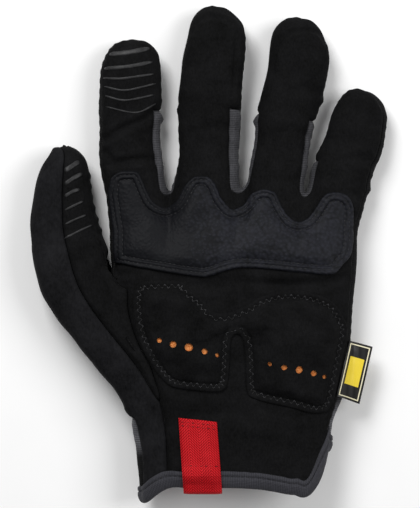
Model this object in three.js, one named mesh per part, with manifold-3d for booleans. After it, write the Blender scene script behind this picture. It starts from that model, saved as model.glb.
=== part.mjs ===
// A left-hand mechanic's work glove, lying on its back with the palm up, the fingers
// pointing along +Y and the thumb to -X. Millimetres, +Z up. The glove is cut and sewn
// from thin panels, so every panel here is a hollow wall of its own round one open
// cavity that the hand enters at the cuff.
import * as THREE from 'three';
import { mergeVertices } from 'three/addons/utils/BufferGeometryUtils.js';
import Module from 'manifold-3d';

// Hand sizes
const palm_length = 145;      // cuff to the level where the fingers part
const palm_width = 121;       // across the knuckles
const palm_height = 26;       // palm face above the surface it lies on
const wrist_width = 91;       // across the cuff
const wrist_height = 29;      // height of the open cuff
const knuckle_height = 21;    // palm face where it runs into the fingers
const side_seam_band = 8.4;   // height of the upright side between face and back
const edge_round = 30;        // how far the palm face takes to round over to its side
const back_round = 15;        // the same on the back, which lies flat further out
const crotch_dip = 3.2;       // depth of the web between two fingers
const crotch_crown = 1.6;     // how far that web stands proud at mid height
const floor_press = 1.1;      // how far each digit is pressed flat where it rests

// Cloth sizes
const palm_wall = 1.3;        // synthetic suede
const back_wall = 1.5;        // stretch knit
const side_wall = 1.1;        // finger side strips
const thumb_wall = 1.3;
const seam_gap = 0.34;        // between two panels that are sewn edge to edge
const layer_gap = 0.3;        // between a panel and what is stitched on top of it

// Pieces sewn or printed on
const knuckle_patch_thick = 1.2;
const pad_cover_thick = 1.1;
const pad_core_thick = 2.6;
const pad_core_margin = 5.5;  // from the cover's edge to the foam inside it
const pad_core_rise = 9;      // over which the cover climbs onto the foam
const pad_gap = 0.42;         // under the cover and its foam
const grip_bar_thick = 0.6;
const binding_width = 7.6;
const binding_thick = 1.1;
const binding_gap = 0.45;     // between the binding and the wall it folds over
const loop_width = 19;
const loop_thick = 1.1;
const loop_outside_length = 37;
const loop_inside_length = 26;
const loop_overhang = 3.4;    // how far its fold hangs past the cuff
const label_length = 29.5;
const label_width = 13;
const label_thick = 1.0;

// The digits. across and along place the root as shares of palm_width and palm_length;
// heading is degrees from +Y towards the little finger; twist turns the side seams
// round the digit, so that the strip on its little-finger side shows from the front.
const DIGITS = {
  thumb: { across: -0.678, along: 0.81, heading: -4.8, length: 53.5, width: 33, thick: 23, twist: 0 },
  index: { across: -0.405, along: 1.024, heading: -2.8, length: 75.8, width: 30.5, thick: 18, twist: 13 },
  middle: { across: -0.112, along: 1.031, heading: 3.1, length: 91.6, width: 30.5, thick: 18.5, twist: 27 },
  ring: { across: 0.174, along: 1.038, heading: 8.7, length: 85.5, width: 29, thick: 18, twist: 10 },
  little: { across: 0.426, along: 1.003, heading: 14.1, length: 55.4, width: 29, thick: 17, twist: 2 },
};
const FINGERS = ['index', 'middle', 'ring', 'little'];

// Sections of each digit, root to tip: at is a share of its length, shift and wide
// are shares of its width, deep a share of its thickness, and lift how far the
// relaxed curl raises it, as a share of its thickness.
const SECTIONS = {
  thumb: [
    { at: 0, shift: 0, wide: 1.12, deep: 1.08, lift: 0 },
    { at: 0.1, shift: -0.03, wide: 1.07, deep: 1.05, lift: 0 },
    { at: 0.24, shift: -0.05, wide: 1.01, deep: 1, lift: 0.02 },
    { at: 0.38, shift: -0.04, wide: 0.94, deep: 0.97, lift: 0.04 },
    { at: 0.53, shift: -0.025, wide: 0.84, deep: 0.94, lift: 0.06 },
    { at: 0.68, shift: 0.005, wide: 0.77, deep: 0.9, lift: 0.09 },
    { at: 0.82, shift: 0.035, wide: 0.65, deep: 0.8, lift: 0.13 },
    { at: 0.91, shift: 0.05, wide: 0.46, deep: 0.62, lift: 0.21 },
    { at: 0.97, shift: 0.03, wide: 0.29, deep: 0.4, lift: 0.31 },
    { at: 1, shift: 0, wide: 0, deep: 0, lift: 0.5 },
  ],
  index: [
    { at: 0, shift: 0, wide: 0.99, deep: 1.06, lift: 0 },
    { at: 0.12, shift: -0.035, wide: 1.01, deep: 1.02, lift: 0 },
    { at: 0.25, shift: -0.065, wide: 0.99, deep: 1, lift: 0.01 },
    { at: 0.38, shift: -0.055, wide: 0.97, deep: 0.98, lift: 0.02 },
    { at: 0.52, shift: -0.025, wide: 1, deep: 1, lift: 0.03 },
    { at: 0.66, shift: -0.01, wide: 1, deep: 0.97, lift: 0.05 },
    { at: 0.79, shift: -0.005, wide: 0.96, deep: 0.93, lift: 0.07 },
    { at: 0.89, shift: 0.03, wide: 0.86, deep: 0.83, lift: 0.11 },
    { at: 0.96, shift: 0.03, wide: 0.62, deep: 0.58, lift: 0.23 },
    { at: 0.988, shift: 0.01, wide: 0.34, deep: 0.34, lift: 0.35 },
    { at: 1, shift: 0, wide: 0, deep: 0, lift: 0.52 },
  ],
  middle: [
    { at: 0, shift: 0, wide: 1.13, deep: 1.06, lift: 0 },
    { at: 0.09, shift: 0.01, wide: 1.03, deep: 1.02, lift: 0 },
    { at: 0.19, shift: 0.01, wide: 0.97, deep: 0.98, lift: 0.01 },
    { at: 0.31, shift: 0, wide: 1.01, deep: 1, lift: 0.02 },
    { at: 0.44, shift: -0.02, wide: 1.03, deep: 1.02, lift: 0.03 },
    { at: 0.56, shift: -0.01, wide: 1.0, deep: 0.98, lift: 0.04 },
    { at: 0.7, shift: 0.01, wide: 1, deep: 0.96, lift: 0.06 },
    { at: 0.81, shift: 0.028, wide: 0.965, deep: 0.92, lift: 0.08 },
    { at: 0.9, shift: 0.03, wide: 0.84, deep: 0.83, lift: 0.12 },
    { at: 0.96, shift: 0.01, wide: 0.58, deep: 0.6, lift: 0.23 },
    { at: 0.988, shift: 0, wide: 0.33, deep: 0.34, lift: 0.36 },
    { at: 1, shift: 0, wide: 0, deep: 0, lift: 0.53 },
  ],
  ring: [
    { at: 0, shift: 0, wide: 0.99, deep: 1.06, lift: 0 },
    { at: 0.09, shift: 0, wide: 0.955, deep: 1.02, lift: 0 },
    { at: 0.19, shift: 0, wide: 0.94, deep: 0.98, lift: 0.01 },
    { at: 0.29, shift: 0, wide: 0.95, deep: 0.98, lift: 0.02 },
    { at: 0.41, shift: -0.01, wide: 1.01, deep: 1, lift: 0.03 },
    { at: 0.55, shift: 0.04, wide: 1.02, deep: 0.98, lift: 0.04 },
    { at: 0.7, shift: 0.055, wide: 1.01, deep: 0.96, lift: 0.06 },
    { at: 0.82, shift: 0.04, wide: 0.96, deep: 0.92, lift: 0.09 },
    { at: 0.9, shift: 0.01, wide: 0.85, deep: 0.82, lift: 0.13 },
    { at: 0.96, shift: 0, wide: 0.6, deep: 0.6, lift: 0.24 },
    { at: 0.988, shift: 0, wide: 0.35, deep: 0.35, lift: 0.37 },
    { at: 1, shift: 0, wide: 0, deep: 0, lift: 0.54 },
  ],
  little: [
    { at: 0, shift: 0, wide: 1, deep: 1.06, lift: 0 },
    { at: 0.13, shift: 0, wide: 1.01, deep: 1.02, lift: 0 },
    { at: 0.27, shift: -0.005, wide: 1.03, deep: 1, lift: 0.02 },
    { at: 0.4, shift: 0.035, wide: 1.01, deep: 0.98, lift: 0.03 },
    { at: 0.54, shift: 0.07, wide: 0.99, deep: 0.97, lift: 0.05 },
    { at: 0.68, shift: 0.065, wide: 0.95, deep: 0.94, lift: 0.07 },
    { at: 0.82, shift: 0.06, wide: 0.86, deep: 0.86, lift: 0.11 },
    { at: 0.92, shift: 0.03, wide: 0.65, deep: 0.66, lift: 0.2 },
    { at: 0.975, shift: 0, wide: 0.38, deep: 0.4, lift: 0.34 },
    { at: 1, shift: 0, wide: 0, deep: 0, lift: 0.53 },
  ],
};

// How far up each digit its side strip reaches, as a share of its length.
const STRIP_ENDS = { index: 0.52, middle: 0.5, ring: 0.41, little: 0.33 };

// Three lines run up the palm: its thumb-side edge, the thumb seam and its
// little-finger edge. row is the share of the way from cuff to fingers, up a share of
// palm_length. left and right are shares of the way from the wrist's half width to the
// palm's; seam is a share of the palm's half width.
const PALM_LINES = [
  { row: 0, left: -0.03, left_up: -0.04, seam: 0.545, seam_up: 0.0165, right: 0.06, right_up: 0.131 },
  { row: 0.05, left: 0, left_up: 0.02, seam: 0.55, seam_up: 0.075, right: 0.08, right_up: 0.188 },
  { row: 0.14, left: 0.06, left_up: 0.135, seam: 0.562, seam_up: 0.19, right: 0.14, right_up: 0.24 },
  { row: 0.24, left: 0.3, left_up: 0.238, seam: 0.61, seam_up: 0.3, right: 0.42, right_up: 0.315 },
  { row: 0.36, left: 0.5, left_up: 0.36, seam: 0.67, seam_up: 0.41, right: 0.66, right_up: 0.41 },
  { row: 0.48, left: 0.75, left_up: 0.48, seam: 0.765, seam_up: 0.49, right: 0.78, right_up: 0.51 },
  { row: 0.6, left: 0.9, left_up: 0.6, seam: 0.835, seam_up: 0.585, right: 0.84, right_up: 0.62 },
  { row: 0.72, left: 0.97, left_up: 0.717, seam: 0.85, seam_up: 0.69, right: 0.92, right_up: 0.73 },
  { row: 0.81, left: 1, left_up: 0.8, seam: 0.84, seam_up: 0.79, right: 0.98, right_up: 0.81 },
  { row: 0.9, left: 1.06, left_up: 0.905, seam: 0.825, seam_up: 0.9, right: 1.06, right_up: 0.89 },
  { row: 1, left: 1.24, left_up: 1.02, seam: 0.81, seam_up: 1.024, right: 1.33, right_up: 0.98 },
];
const THUMB_ROWS = { from: 0.24, to: 0.72 }; // between these rows the palm opens into the thumb

// The cuff edge between the thumb seam and the little-finger edge: across is a share
// of that stretch and up a share of palm_length. Both faces climb to a notch at the end.
const CUFF_FRONT = [
  { across: 0, up: 0.0165 },
  { across: 0.4, up: 0.018 },
  { across: 0.62, up: 0.01 },
  { across: 0.75, up: -0.004 },
  { across: 0.85, up: -0.009 },
  { across: 0.93, up: 0.002 },
  { across: 1, up: 0.131 },
];
const CUFF_BACK = [
  { across: 0, up: 0.03 },
  { across: 0.3, up: 0.045 },
  { across: 0.6, up: 0.045 },
  { across: 0.86, up: 0.05 },
  { across: 0.94, up: 0.07 },
  { across: 1, up: 0.131 },
];

// Heights up the palm: face runs from 0 at the knuckle height to 1 at the palm height,
// wrist is the share of the wrist height mixed in, and side places the middle of the
// upright side as a share of the face height there. open is 1 where the face runs on
// into the thumb instead of rounding down to an edge.
const PALM_HEIGHTS = [
  { row: 0, face: 1, wrist: 1, side: 0.5, open: 0 },
  { row: 0.14, face: 1, wrist: 0.6, side: 0.5, open: 0 },
  { row: 0.24, face: 1, wrist: 0.2, side: 0.5, open: 0.02 },
  { row: 0.36, face: 1, wrist: 0, side: 0.49, open: 0.9 },
  { row: 0.6, face: 0.96, wrist: 0, side: 0.47, open: 0.85 },
  { row: 0.72, face: 0.85, wrist: 0, side: 0.46, open: 0.05 },
  { row: 0.86, face: 0.5, wrist: 0, side: 0.45, open: 0 },
  { row: 1, face: 0, wrist: 0, side: 0.44, open: 0 },
];

// Mesh counts: segments across a finger's face, down its side and across a web
const FACE = 4;
const SIDE = 2;
const WEB = 2;
const THUMB_STRIP = FACE / 2;             // face columns between the palm's edge and the thumb seam
const GUSSET_ROWS = 4;                    // from the palm to the thumb's root
const SIDE_ANGLE = 25;                    // of the side seams above and below a digit's middle, degrees
const SECTION_POWER = 2.3;                // a little squarer than an ellipse
const ROOT_POWER = 3;                     // squarer still where a finger runs into the palm

// Reads a column of a table at a place, on a smooth curve through its rows.
function read(table, key, column, at) {
  const n = table.length;
  let i = 0;
  while (i < n - 2 && at > table[i + 1][key]) i++;
  const [a, b] = [table[i], table[i + 1]];
  const span = b[key] - a[key];
  const t = (at - a[key]) / span;
  const before = table[Math.max(i - 1, 0)];
  const after = table[Math.min(i + 2, n - 1)];
  const slope = (low, high) => (high[column] - low[column]) / (high[key] - low[key]);
  const slope_a = i > 0 ? slope(before, b) : slope(a, b);
  const slope_b = i < n - 2 ? slope(a, after) : slope(a, b);
  const t2 = t * t;
  const t3 = t2 * t;
  return (2 * t3 - 3 * t2 + 1) * a[column] + (t3 - 2 * t2 + t) * span * slope_a
    + (-2 * t3 + 3 * t2) * b[column] + (t3 - t2) * span * slope_b;
}

const degrees = Math.PI / 180;
const mix = (a, b, t) => a + (b - a) * t;
const smooth = (from, to, x) => {
  const t = Math.min(1, Math.max(0, (x - from) / (to - from)));
  return t * t * (3 - 2 * t);
};
const round_over = (t) => Math.sqrt(1 - (1 - Math.min(1, Math.max(0, t))) ** 2);
const point = (x, y, z) => new THREE.Vector3(x, y, z);

// Where a digit's middle line is, and which way it heads, at a share of its length.
function digitLine(name, at) {
  const d = DIGITS[name];
  const heading = d.heading * degrees;
  const forward = point(Math.sin(heading), Math.cos(heading), 0);
  const outward = point(Math.cos(heading), -Math.sin(heading), 0);
  const centre = point(d.across * palm_width, d.along * palm_length, 0)
    .addScaledVector(forward, at * d.length)
    .addScaledVector(outward, read(SECTIONS[name], 'at', 'shift', at) * d.width);
  return { centre, forward, outward };
}

// A point on a digit's section, by its angle from the little-finger side up and over.
function digitPoint(name, at, angle) {
  const d = DIGITS[name];
  const { centre, outward } = digitLine(name, at);
  const half_wide = Math.max(0, read(SECTIONS[name], 'at', 'wide', at)) * d.width / 2;
  const half_deep = Math.max(0, read(SECTIONS[name], 'at', 'deep', at)) * d.thick / 2;
  const power = 2 / mix(ROOT_POWER, SECTION_POWER, smooth(0, 0.3, at));
  const c = Math.cos(angle * degrees);
  const s = Math.sin(angle * degrees);
  const x = half_wide * Math.sign(c) * Math.abs(c) ** power;
  const z = half_deep * Math.sign(s) * Math.abs(s) ** power;
  const height = half_deep + read(SECTIONS[name], 'at', 'lift', at) * d.thick - floor_press;
  return centre.clone().addScaledVector(outward, x).setZ(Math.max(0, z + height));
}

// The angles round a digit: across its face from the thumb side, down the side seam
// band, back across its back and up the other side.
function ringAngles(name, face_split) {
  const { twist } = DIGITS[name];
  const corner = [180 - SIDE_ANGLE, SIDE_ANGLE, -SIDE_ANGLE, SIDE_ANGLE - 180];
  const face = face_split.map((share) => mix(corner[0], corner[1], share) + twist);
  const back = [...face_split].reverse().map((share) => mix(corner[3], corner[2], share) + twist);
  const right = [];
  const left = [];
  for (let i = 1; i < SIDE; i++) {
    right.push(mix(face.at(-1), back[0], i / SIDE));
    left.push(mix(back.at(-1), face[0] - 360, i / SIDE));
  }
  return [...face, ...right, ...back, ...left];
}

// The skin is one mesh of quads round the whole glove. Every quad knows the digit or
// palm it is on, the zone of the ring it is in, and its row and column there.
const points = [];
const quads = [];
const addPoint = (p) => points.push(p) - 1;

// Zones round a ring with the given number of face segments.
function ringZone(i, face_count) {
  if (i < face_count) return { zone: 'face', col: i };
  if (i < face_count + SIDE) return { zone: 'right', col: i - face_count };
  if (i < 2 * face_count + SIDE) return { zone: 'back', col: 2 * face_count + SIDE - 1 - i };
  return { zone: 'left', col: 2 * face_count + 2 * SIDE - 1 - i };
}

// Joins two rings of the same length with a row of quads.
function joinRings(near, far, part, row, face_count, at, skip = () => false) {
  for (let i = 0; i < near.length; i++) {
    const next = (i + 1) % near.length;
    const place = ringZone(i, face_count);
    if (!skip(place)) quads.push({ ids: [near[i], near[next], far[next], far[i]], part, row, at, ...place });
  }
}

// The rows of a digit beyond its root ring, closed at the tip.
function growDigit(name, root, split, first_row) {
  const angles = ringAngles(name, split);
  const face_count = split.length - 1;
  const stations = SECTIONS[name].map((s) => s.at);
  let near = root;
  for (let i = 1; i < stations.length; i++) {
    const at = stations[i];
    const far = i < stations.length - 1
      ? angles.map((angle) => addPoint(digitPoint(name, at, angle)))
      : new Array(near.length).fill(addPoint(digitPoint(name, at, 90)));
    joinRings(near, far, name, first_row + i, face_count, (stations[i - 1] + at) / 2);
    near = far;
  }
}

const even = (n) => Array.from({ length: n + 1 }, (_, i) => i / n);

// Fingers, each on its own root ring.
const roots = {};
for (const name of FINGERS) {
  roots[name] = ringAngles(name, even(FACE)).map((angle) => addPoint(digitPoint(name, 0, angle)));
  growDigit(name, roots[name], even(FACE), 0);
}

// A ring's side as a list of points from face to back.
const rightSide = (ring) => ring.slice(FACE, FACE + SIDE + 1);
const leftSide = (ring) => [ring[0], ...ring.slice(2 * FACE + SIDE).reverse()];

// The web between two neighbouring fingers.
const webs = [];
for (let k = 0; k < FINGERS.length - 1; k++) {
  const here = rightSide(roots[FINGERS[k]]);
  const there = leftSide(roots[FINGERS[k + 1]]);
  const forward = digitLine(FINGERS[k], 0).forward.add(digitLine(FINGERS[k + 1], 0).forward).normalize();
  const columns = [here];
  for (let c = 1; c < WEB; c++) {
    const share = c / WEB;
    const bow = 4 * share * (1 - share);
    columns.push(here.map((id, t) => {
      const crown = crotch_crown * Math.sin(Math.PI * t / SIDE);
      const p = points[id].clone().lerp(points[there[t]], share);
      return addPoint(p.addScaledVector(forward, -bow * (crotch_dip - crown)));
    }));
  }
  columns.push(there);
  for (let c = 0; c < WEB; c++) {
    for (let t = 0; t < SIDE; t++) {
      quads.push({
        ids: [columns[c][t], columns[c + 1][t], columns[c + 1][t + 1], columns[c][t + 1]],
        part: 'web', row: k, zone: 'web', col: c, at: 0,
      });
    }
  }
  webs.push(columns);
}

// The row of points where the palm's face, or its back, meets the fingers.
function knuckleRow(edge) {
  const row = [];
  FINGERS.forEach((name, k) => {
    const ring = roots[name];
    const back = ring.slice(FACE + SIDE, 2 * FACE + SIDE + 1).reverse();
    row.push(...(edge === 'face' ? ring.slice(0, FACE + 1) : back));
    const web = webs[k] ?? [];
    row.push(...web.slice(1, -1).map((column) => column[edge === 'face' ? 0 : SIDE]));
  });
  return row;
}

const half_palm = palm_width / 2;
const half_wrist = wrist_width / 2;
const PALM_ROWS = PALM_LINES.map((line) => line.row);
const knuckles = { face: knuckleRow('face'), back: knuckleRow('back') };
const COLUMNS = knuckles.face.length - 1;

// One of the palm's three lines in plan. It ends on the finger root that it runs into.
function palmLine(side, row, end) {
  const share = (at) => read(PALM_LINES, 'row', side, at);
  const up = (at) => read(PALM_LINES, 'row', `${side}_up`, at) * palm_length;
  const x = {
    left: (at) => -mix(half_wrist, half_palm, share(at)),
    seam: (at) => -share(at) * half_palm,
    right: (at) => mix(half_wrist, half_palm, share(at)),
  }[side];
  const settle = row * row * row;
  return point(x(row) + (end.x - x(1)) * settle, up(row) + (end.y - up(1)) * settle, 0);
}

// The palm's heights at a row: face, and the upper and lower seams of its upright side.
function palmHeights(row) {
  const face = mix(knuckle_height, palm_height, read(PALM_HEIGHTS, 'row', 'face', row));
  const top = mix(face, wrist_height, read(PALM_HEIGHTS, 'row', 'wrist', row));
  const middle = top * read(PALM_HEIGHTS, 'row', 'side', row);
  return { top, upper: middle + side_seam_band / 2, lower: middle - side_seam_band / 2 };
}

// A point of the palm's face or back at a row and column: a patch between its lines
// in plan, then lifted by how far it is from the edges.
function palmPoint(edge, row, column) {
  const ends = knuckles[edge].map((id) => points[id]);
  const left = palmLine('left', row, ends[0]);
  const seam = palmLine('seam', row, ends[THUMB_STRIP]);
  const right = palmLine('right', row, ends[COLUMNS]);
  const cuff = edge === 'face' ? CUFF_FRONT : CUFF_BACK;
  const inner = column >= THUMB_STRIP;
  const [a, b] = inner ? [seam, right] : [left, seam];
  const [from, to] = inner ? [THUMB_STRIP, COLUMNS] : [0, THUMB_STRIP];
  const share = (ends[column].x - ends[from].x) / (ends[to].x - ends[from].x);
  const p = a.clone().lerp(b, share);
  const straight_top = mix(ends[from].y, ends[to].y, share);
  const near_fingers = row ** 4;
  p.y += (ends[column].y - straight_top) * near_fingers;
  const seam_cuff = palmLine('seam', 0, ends[THUMB_STRIP]).y;
  const near_cuff = Math.min(1, (1 - row) / (1 - PALM_ROWS[1])) ** 4;
  if (inner) {
    const right_cuff = palmLine('right', 0, ends[COLUMNS]).y;
    p.y += (read(cuff, 'across', 'up', share) * palm_length - mix(seam_cuff, right_cuff, share)) * near_cuff;
  } else {
    p.y += (cuff[0].up * palm_length - seam_cuff) * share * near_cuff;
  }
  const { top, upper, lower } = palmHeights(row);
  const open = read(PALM_HEIGHTS, 'row', 'open', row) * half_palm;
  const reach = edge === 'face' ? edge_round : back_round;
  const inset = Math.min(p.x - left.x + open, right.x - p.x);
  const other = Math.max(p.x - left.x + open, right.x - p.x);
  const shape = round_over(inset / reach) * round_over(other / reach);
  const under = (binding_thick + binding_gap) * (1 - smooth(PALM_ROWS[1], PALM_ROWS[3], row));
  const z = edge === 'face' ? mix(upper, top, shape) : mix(lower, under, shape);
  return p.setZ(Math.max(0, mix(z, ends[column].z, smooth(0.8, 1, row))));
}

// The palm's own rows, from the cuff up to the fingers' root rings.
const palm_rings = [];
const thumb_first = PALM_ROWS.indexOf(THUMB_ROWS.from);
const thumb_last = PALM_ROWS.indexOf(THUMB_ROWS.to);
const sideMiddle = (upper, lower, row, sign) => {
  const bulge = side_seam_band * 0.16 * sign;
  const out = [];
  for (let i = 1; i < SIDE; i++) {
    const share = i / SIDE;
    const p = upper.clone().lerp(lower, share);
    p.x += bulge * Math.sin(Math.PI * share);
    out.push(p);
  }
  return out;
};
PALM_ROWS.forEach((row, j) => {
  if (j === PALM_ROWS.length - 1) {
    const right = rightSide(roots.little).slice(1, -1);
    const left = leftSide(roots.index).slice(1, -1).reverse();
    palm_rings.push({ face: knuckles.face, right, back: [...knuckles.back].reverse(), left });
    return;
  }
  const inside = j > thumb_first && j < thumb_last;
  const make = (edge) => knuckles[edge].map((_, column) =>
    (inside && column < THUMB_STRIP ? -1 : addPoint(palmPoint(edge, row, column))));
  const face = make('face');
  const back = make('back').reverse();
  const right = sideMiddle(points[face.at(-1)], points[back[0]], row, 1).map(addPoint);
  const left = inside ? new Array(SIDE - 1).fill(-1)
    : sideMiddle(points[back.at(-1)], points[face[0]], row, -1).map(addPoint);
  palm_rings.push({ face, right, back, left });
});
for (let j = 0; j < PALM_ROWS.length - 1; j++) {
  const flat = (ring) => [...ring.face, ...ring.right, ...ring.back, ...ring.left];
  const skip = (place) => j >= thumb_first && j < thumb_last
    && (place.zone === 'left' || (place.zone !== 'right' && place.col < THUMB_STRIP));
  joinRings(flat(palm_rings[j]), flat(palm_rings[j + 1]), 'palm', j, COLUMNS, PALM_ROWS[j], skip);
}

// The edge of the opening that the palm leaves for the thumb, in a digit's ring order.
function thumbOpening() {
  const face_at = (j, c) => palm_rings[j].face[c];
  const back_at = (j, c) => palm_rings[j].back[COLUMNS - c];
  const edge = [];
  const walk = (at) => {
    const line = [];
    for (let c = 0; c < THUMB_STRIP; c++) line.push(at(thumb_first, c));
    for (let j = thumb_first; j < thumb_last; j++) line.push(at(j, THUMB_STRIP));
    for (let c = THUMB_STRIP; c >= 0; c--) line.push(at(thumb_last, c));
    return line;
  };
  edge.push(...walk(face_at));
  edge.push(...[...palm_rings[thumb_last].left].reverse());
  edge.push(...walk(back_at).reverse());
  edge.push(...palm_rings[thumb_first].left);
  return edge;
}

// The thumb: a gusset fans out of the palm, then the free thumb. The seam down its
// middle starts at the foot of the thumb seam.
const opening = thumbOpening();
const inner_count = thumb_last - thumb_first + THUMB_STRIP;
const thumb_split = [
  ...even(THUMB_STRIP).map((s) => s / 2),
  ...even(inner_count).slice(1).map((s) => 0.5 + s / 2),
];
const thumb_face = thumb_split.length - 1;
const thumb_root = ringAngles('thumb', thumb_split).map((angle) => digitPoint('thumb', 0, angle));
// The ways the thumb leaves the palm, at the foot of the thumb seam and at the crotch.
const leave_foot = point(-0.42, 0.91, 0);
const leave_crotch = point(-0.9, 0.44, 0);
let near = opening;
for (let g = 1; g <= GUSSET_ROWS; g++) {
  const t = g / GUSSET_ROWS;
  const far = thumb_root.map((end, i) => {
    const start = points[opening[i]];
    const pull = start.distanceTo(end) * 0.9;
    const climb = smooth(points[opening[0]].y, points[opening[inner_count + THUMB_STRIP]].y, start.y);
    const leave = leave_foot.clone().lerp(leave_crotch, climb).normalize();
    const arrive = digitLine('thumb', 0).forward;
    const p = start.clone().multiplyScalar(2 * t ** 3 - 3 * t ** 2 + 1)
      .addScaledVector(leave, (t ** 3 - 2 * t ** 2 + t) * pull)
      .addScaledVector(end, -2 * t ** 3 + 3 * t ** 2)
      .addScaledVector(arrive, (t ** 3 - t ** 2) * pull);
    return addPoint(p);
  });
  joinRings(near, far, 'thumb', g - GUSSET_ROWS, thumb_face, -1 + t);
  near = far;
}
growDigit('thumb', near, thumb_split, 0);

// Outward normals of the skin, one for each point.
const normals = points.map(() => point(0, 0, 0));
for (const { ids } of quads) {
  const [a, b, c, d] = ids.map((id) => points[id]);
  const face = new THREE.Vector3().crossVectors(c.clone().sub(a), d.clone().sub(b));
  for (const id of new Set(ids)) normals[id].add(face);
}
normals.forEach((n) => n.normalize());

// Which panel a quad of the skin belongs to.
const STRIPS = ['fourchette_index_middle', 'fourchette_middle_ring', 'fourchette_ring_little'];
function panelOf({ part, zone, col, row, at }) {
  if (part === 'web') return STRIPS[row];
  if (zone === 'back') return 'back_panel';
  if (part === 'thumb') {
    const outer = zone === 'left' || (zone === 'face' && col < THUMB_STRIP);
    return outer ? 'thumb_outer_panel' : 'thumb_inner_panel';
  }
  if (part === 'palm') {
    if (zone !== 'face') return 'back_panel';
    return row < thumb_first && col < THUMB_STRIP ? 'thumb_outer_panel' : 'palm_panel';
  }
  if (zone === 'face') return 'palm_panel';
  const strip = FINGERS.indexOf(part) - (zone === 'left' ? 1 : 0);
  if (!STRIPS[strip]) return 'back_panel';
  return at < STRIP_ENDS[part] ? STRIPS[strip] : 'palm_panel';
}

// The triangles of a quad, cut along its shorter diagonal. A quad at a tip is one triangle.
function split(ids) {
  const ring = ids.filter((id, i) => id !== ids[(i + 1) % ids.length]);
  if (ring.length === 3) return [ring];
  const [a, b, c, d] = ring;
  const across = points[a].distanceTo(points[c]) <= points[b].distanceTo(points[d]);
  return across ? [[a, b, c], [a, c, d]] : [[a, b, d], [b, c, d]];
}

// A mesh geometry from triangles of points, with its shared corners merged.
function geometryOf(triangles) {
  const flat = triangles.flatMap((triangle) => triangle.flatMap((p) => [p.x, p.y, p.z]));
  const geometry = new THREE.BufferGeometry();
  geometry.setAttribute('position', new THREE.Float32BufferAttribute(flat, 3));
  return mergeVertices(geometry, 1e-4);
}

// Closes a sheet given as triangles of corners, each corner with a top and a bottom.
function closeSheet(sheet, key) {
  const triangles = [];
  const edges = new Map();
  for (const corners of sheet) {
    triangles.push(corners.map((c) => c.top));
    triangles.push([...corners].reverse().map((c) => c.bottom));
    corners.forEach((c, i) => edges.set(`${key(c)}|${key(corners[(i + 1) % 3])}`, [c, corners[(i + 1) % 3]]));
  }
  for (const [name, [a, b]] of edges) {
    if (edges.has(name.split('|').reverse().join('|'))) continue;
    triangles.push([b.top, a.top, a.bottom], [b.top, a.bottom, b.bottom]);
  }
  return geometryOf(triangles);
}

// A panel: its quads given a wall inwards, its edges drawn back by half the seam gap.
function panelGeometry(name, wall) {
  const sheet = quads.filter((quad) => panelOf(quad) === name).flatMap(({ ids }) => split(ids));
  const edges = new Set(sheet.flatMap(([a, b, c]) => [`${a},${b}`, `${b},${c}`, `${c},${a}`]));
  const drawn = new Map();
  for (const edge of edges) {
    const [a, b] = edge.split(',').map(Number);
    if (edges.has(`${b},${a}`)) continue;
    const along = points[b].clone().sub(points[a]);
    for (const id of [a, b]) {
      const inward = new THREE.Vector3().crossVectors(normals[id], along).normalize();
      drawn.set(id, [...(drawn.get(id) ?? []), inward]);
    }
  }
  const corner = new Map();
  for (const id of new Set(sheet.flat())) {
    const top = points[id].clone();
    if (drawn.has(id)) {
      const [first, second] = drawn.get(id);
      const share = 1 / Math.max(0.4, 1 + first.dot(second));
      top.addScaledVector(first.clone().add(second), share * seam_gap / 2);
    }
    corner.set(id, { id, top, bottom: top.clone().addScaledVector(normals[id], -wall) });
  }
  return closeSheet(sheet.map((triangle) => triangle.map((id) => corner.get(id))), (c) => c.id);
}

// Solids that are cut by an outline
const wasm = await Module();
wasm.setup();

function solidOf(geometry) {
  const plain = geometry.clone();
  plain.deleteAttribute('normal');
  plain.deleteAttribute('uv');
  const merged = mergeVertices(plain, 1e-4);
  return new wasm.Manifold(new wasm.Mesh({
    numProp: 3,
    vertProperties: new Float32Array(merged.attributes.position.array),
    triVerts: new Uint32Array(merged.index.array),
  }));
}

function geometryFrom(solid) {
  const { vertProperties, triVerts } = solid.getMesh();
  const geometry = new THREE.BufferGeometry();
  geometry.setAttribute('position', new THREE.BufferAttribute(new Float32Array(vertProperties), 3));
  geometry.setIndex(new THREE.BufferAttribute(new Uint32Array(triVerts), 1));
  return geometry;
}

// A layer over part of the skin, between two heights above it that may vary from place
// to place. across and along say how finely each quad is divided.
function layerGeometry(covered, low, high, across = 1, along = 1) {
  const sheet = [];
  for (const { ids } of quads.filter(covered)) {
    const [a, b, c, d] = ids;
    const forward = split(ids)[0].includes(c) && split(ids)[0].includes(a);
    const weights = (s, t) => {
      if (forward) return s >= t ? [1 - s, s - t, t, 0] : [1 - t, 0, s, t - s];
      return s + t <= 1 ? [1 - s - t, s, 0, t] : [0, 1 - t, s + t - 1, 1 - s];
    };
    const corner = (i, j) => {
      const shares = weights(i / across, j / along);
      const at = point(0, 0, 0);
      const normal = point(0, 0, 0);
      [a, b, c, d].forEach((id, k) => {
        at.addScaledVector(points[id], shares[k]);
        normal.addScaledVector(normals[id], shares[k]);
      });
      normal.normalize();
      return {
        name: at.toArray().map((v) => Math.round(v * 1e4)).join(),
        top: at.clone().addScaledVector(normal, high(at)),
        bottom: at.clone().addScaledVector(normal, low(at)),
      };
    };
    for (let i = 0; i < across; i++) {
      for (let j = 0; j < along; j++) {
        const box = [corner(i, j), corner(i + 1, j), corner(i + 1, j + 1), corner(i, j + 1)];
        const cuts = forward ? [[0, 1, 2], [0, 2, 3]] : [[0, 1, 3], [1, 2, 3]];
        for (const cut of cuts) {
          const triangle = cut.map((k) => box[k]);
          if (new Set(triangle.map((v) => v.name)).size === 3) sheet.push(triangle);
        }
      }
    }
  }
  return closeSheet(sheet, (c) => c.name);
}

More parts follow.
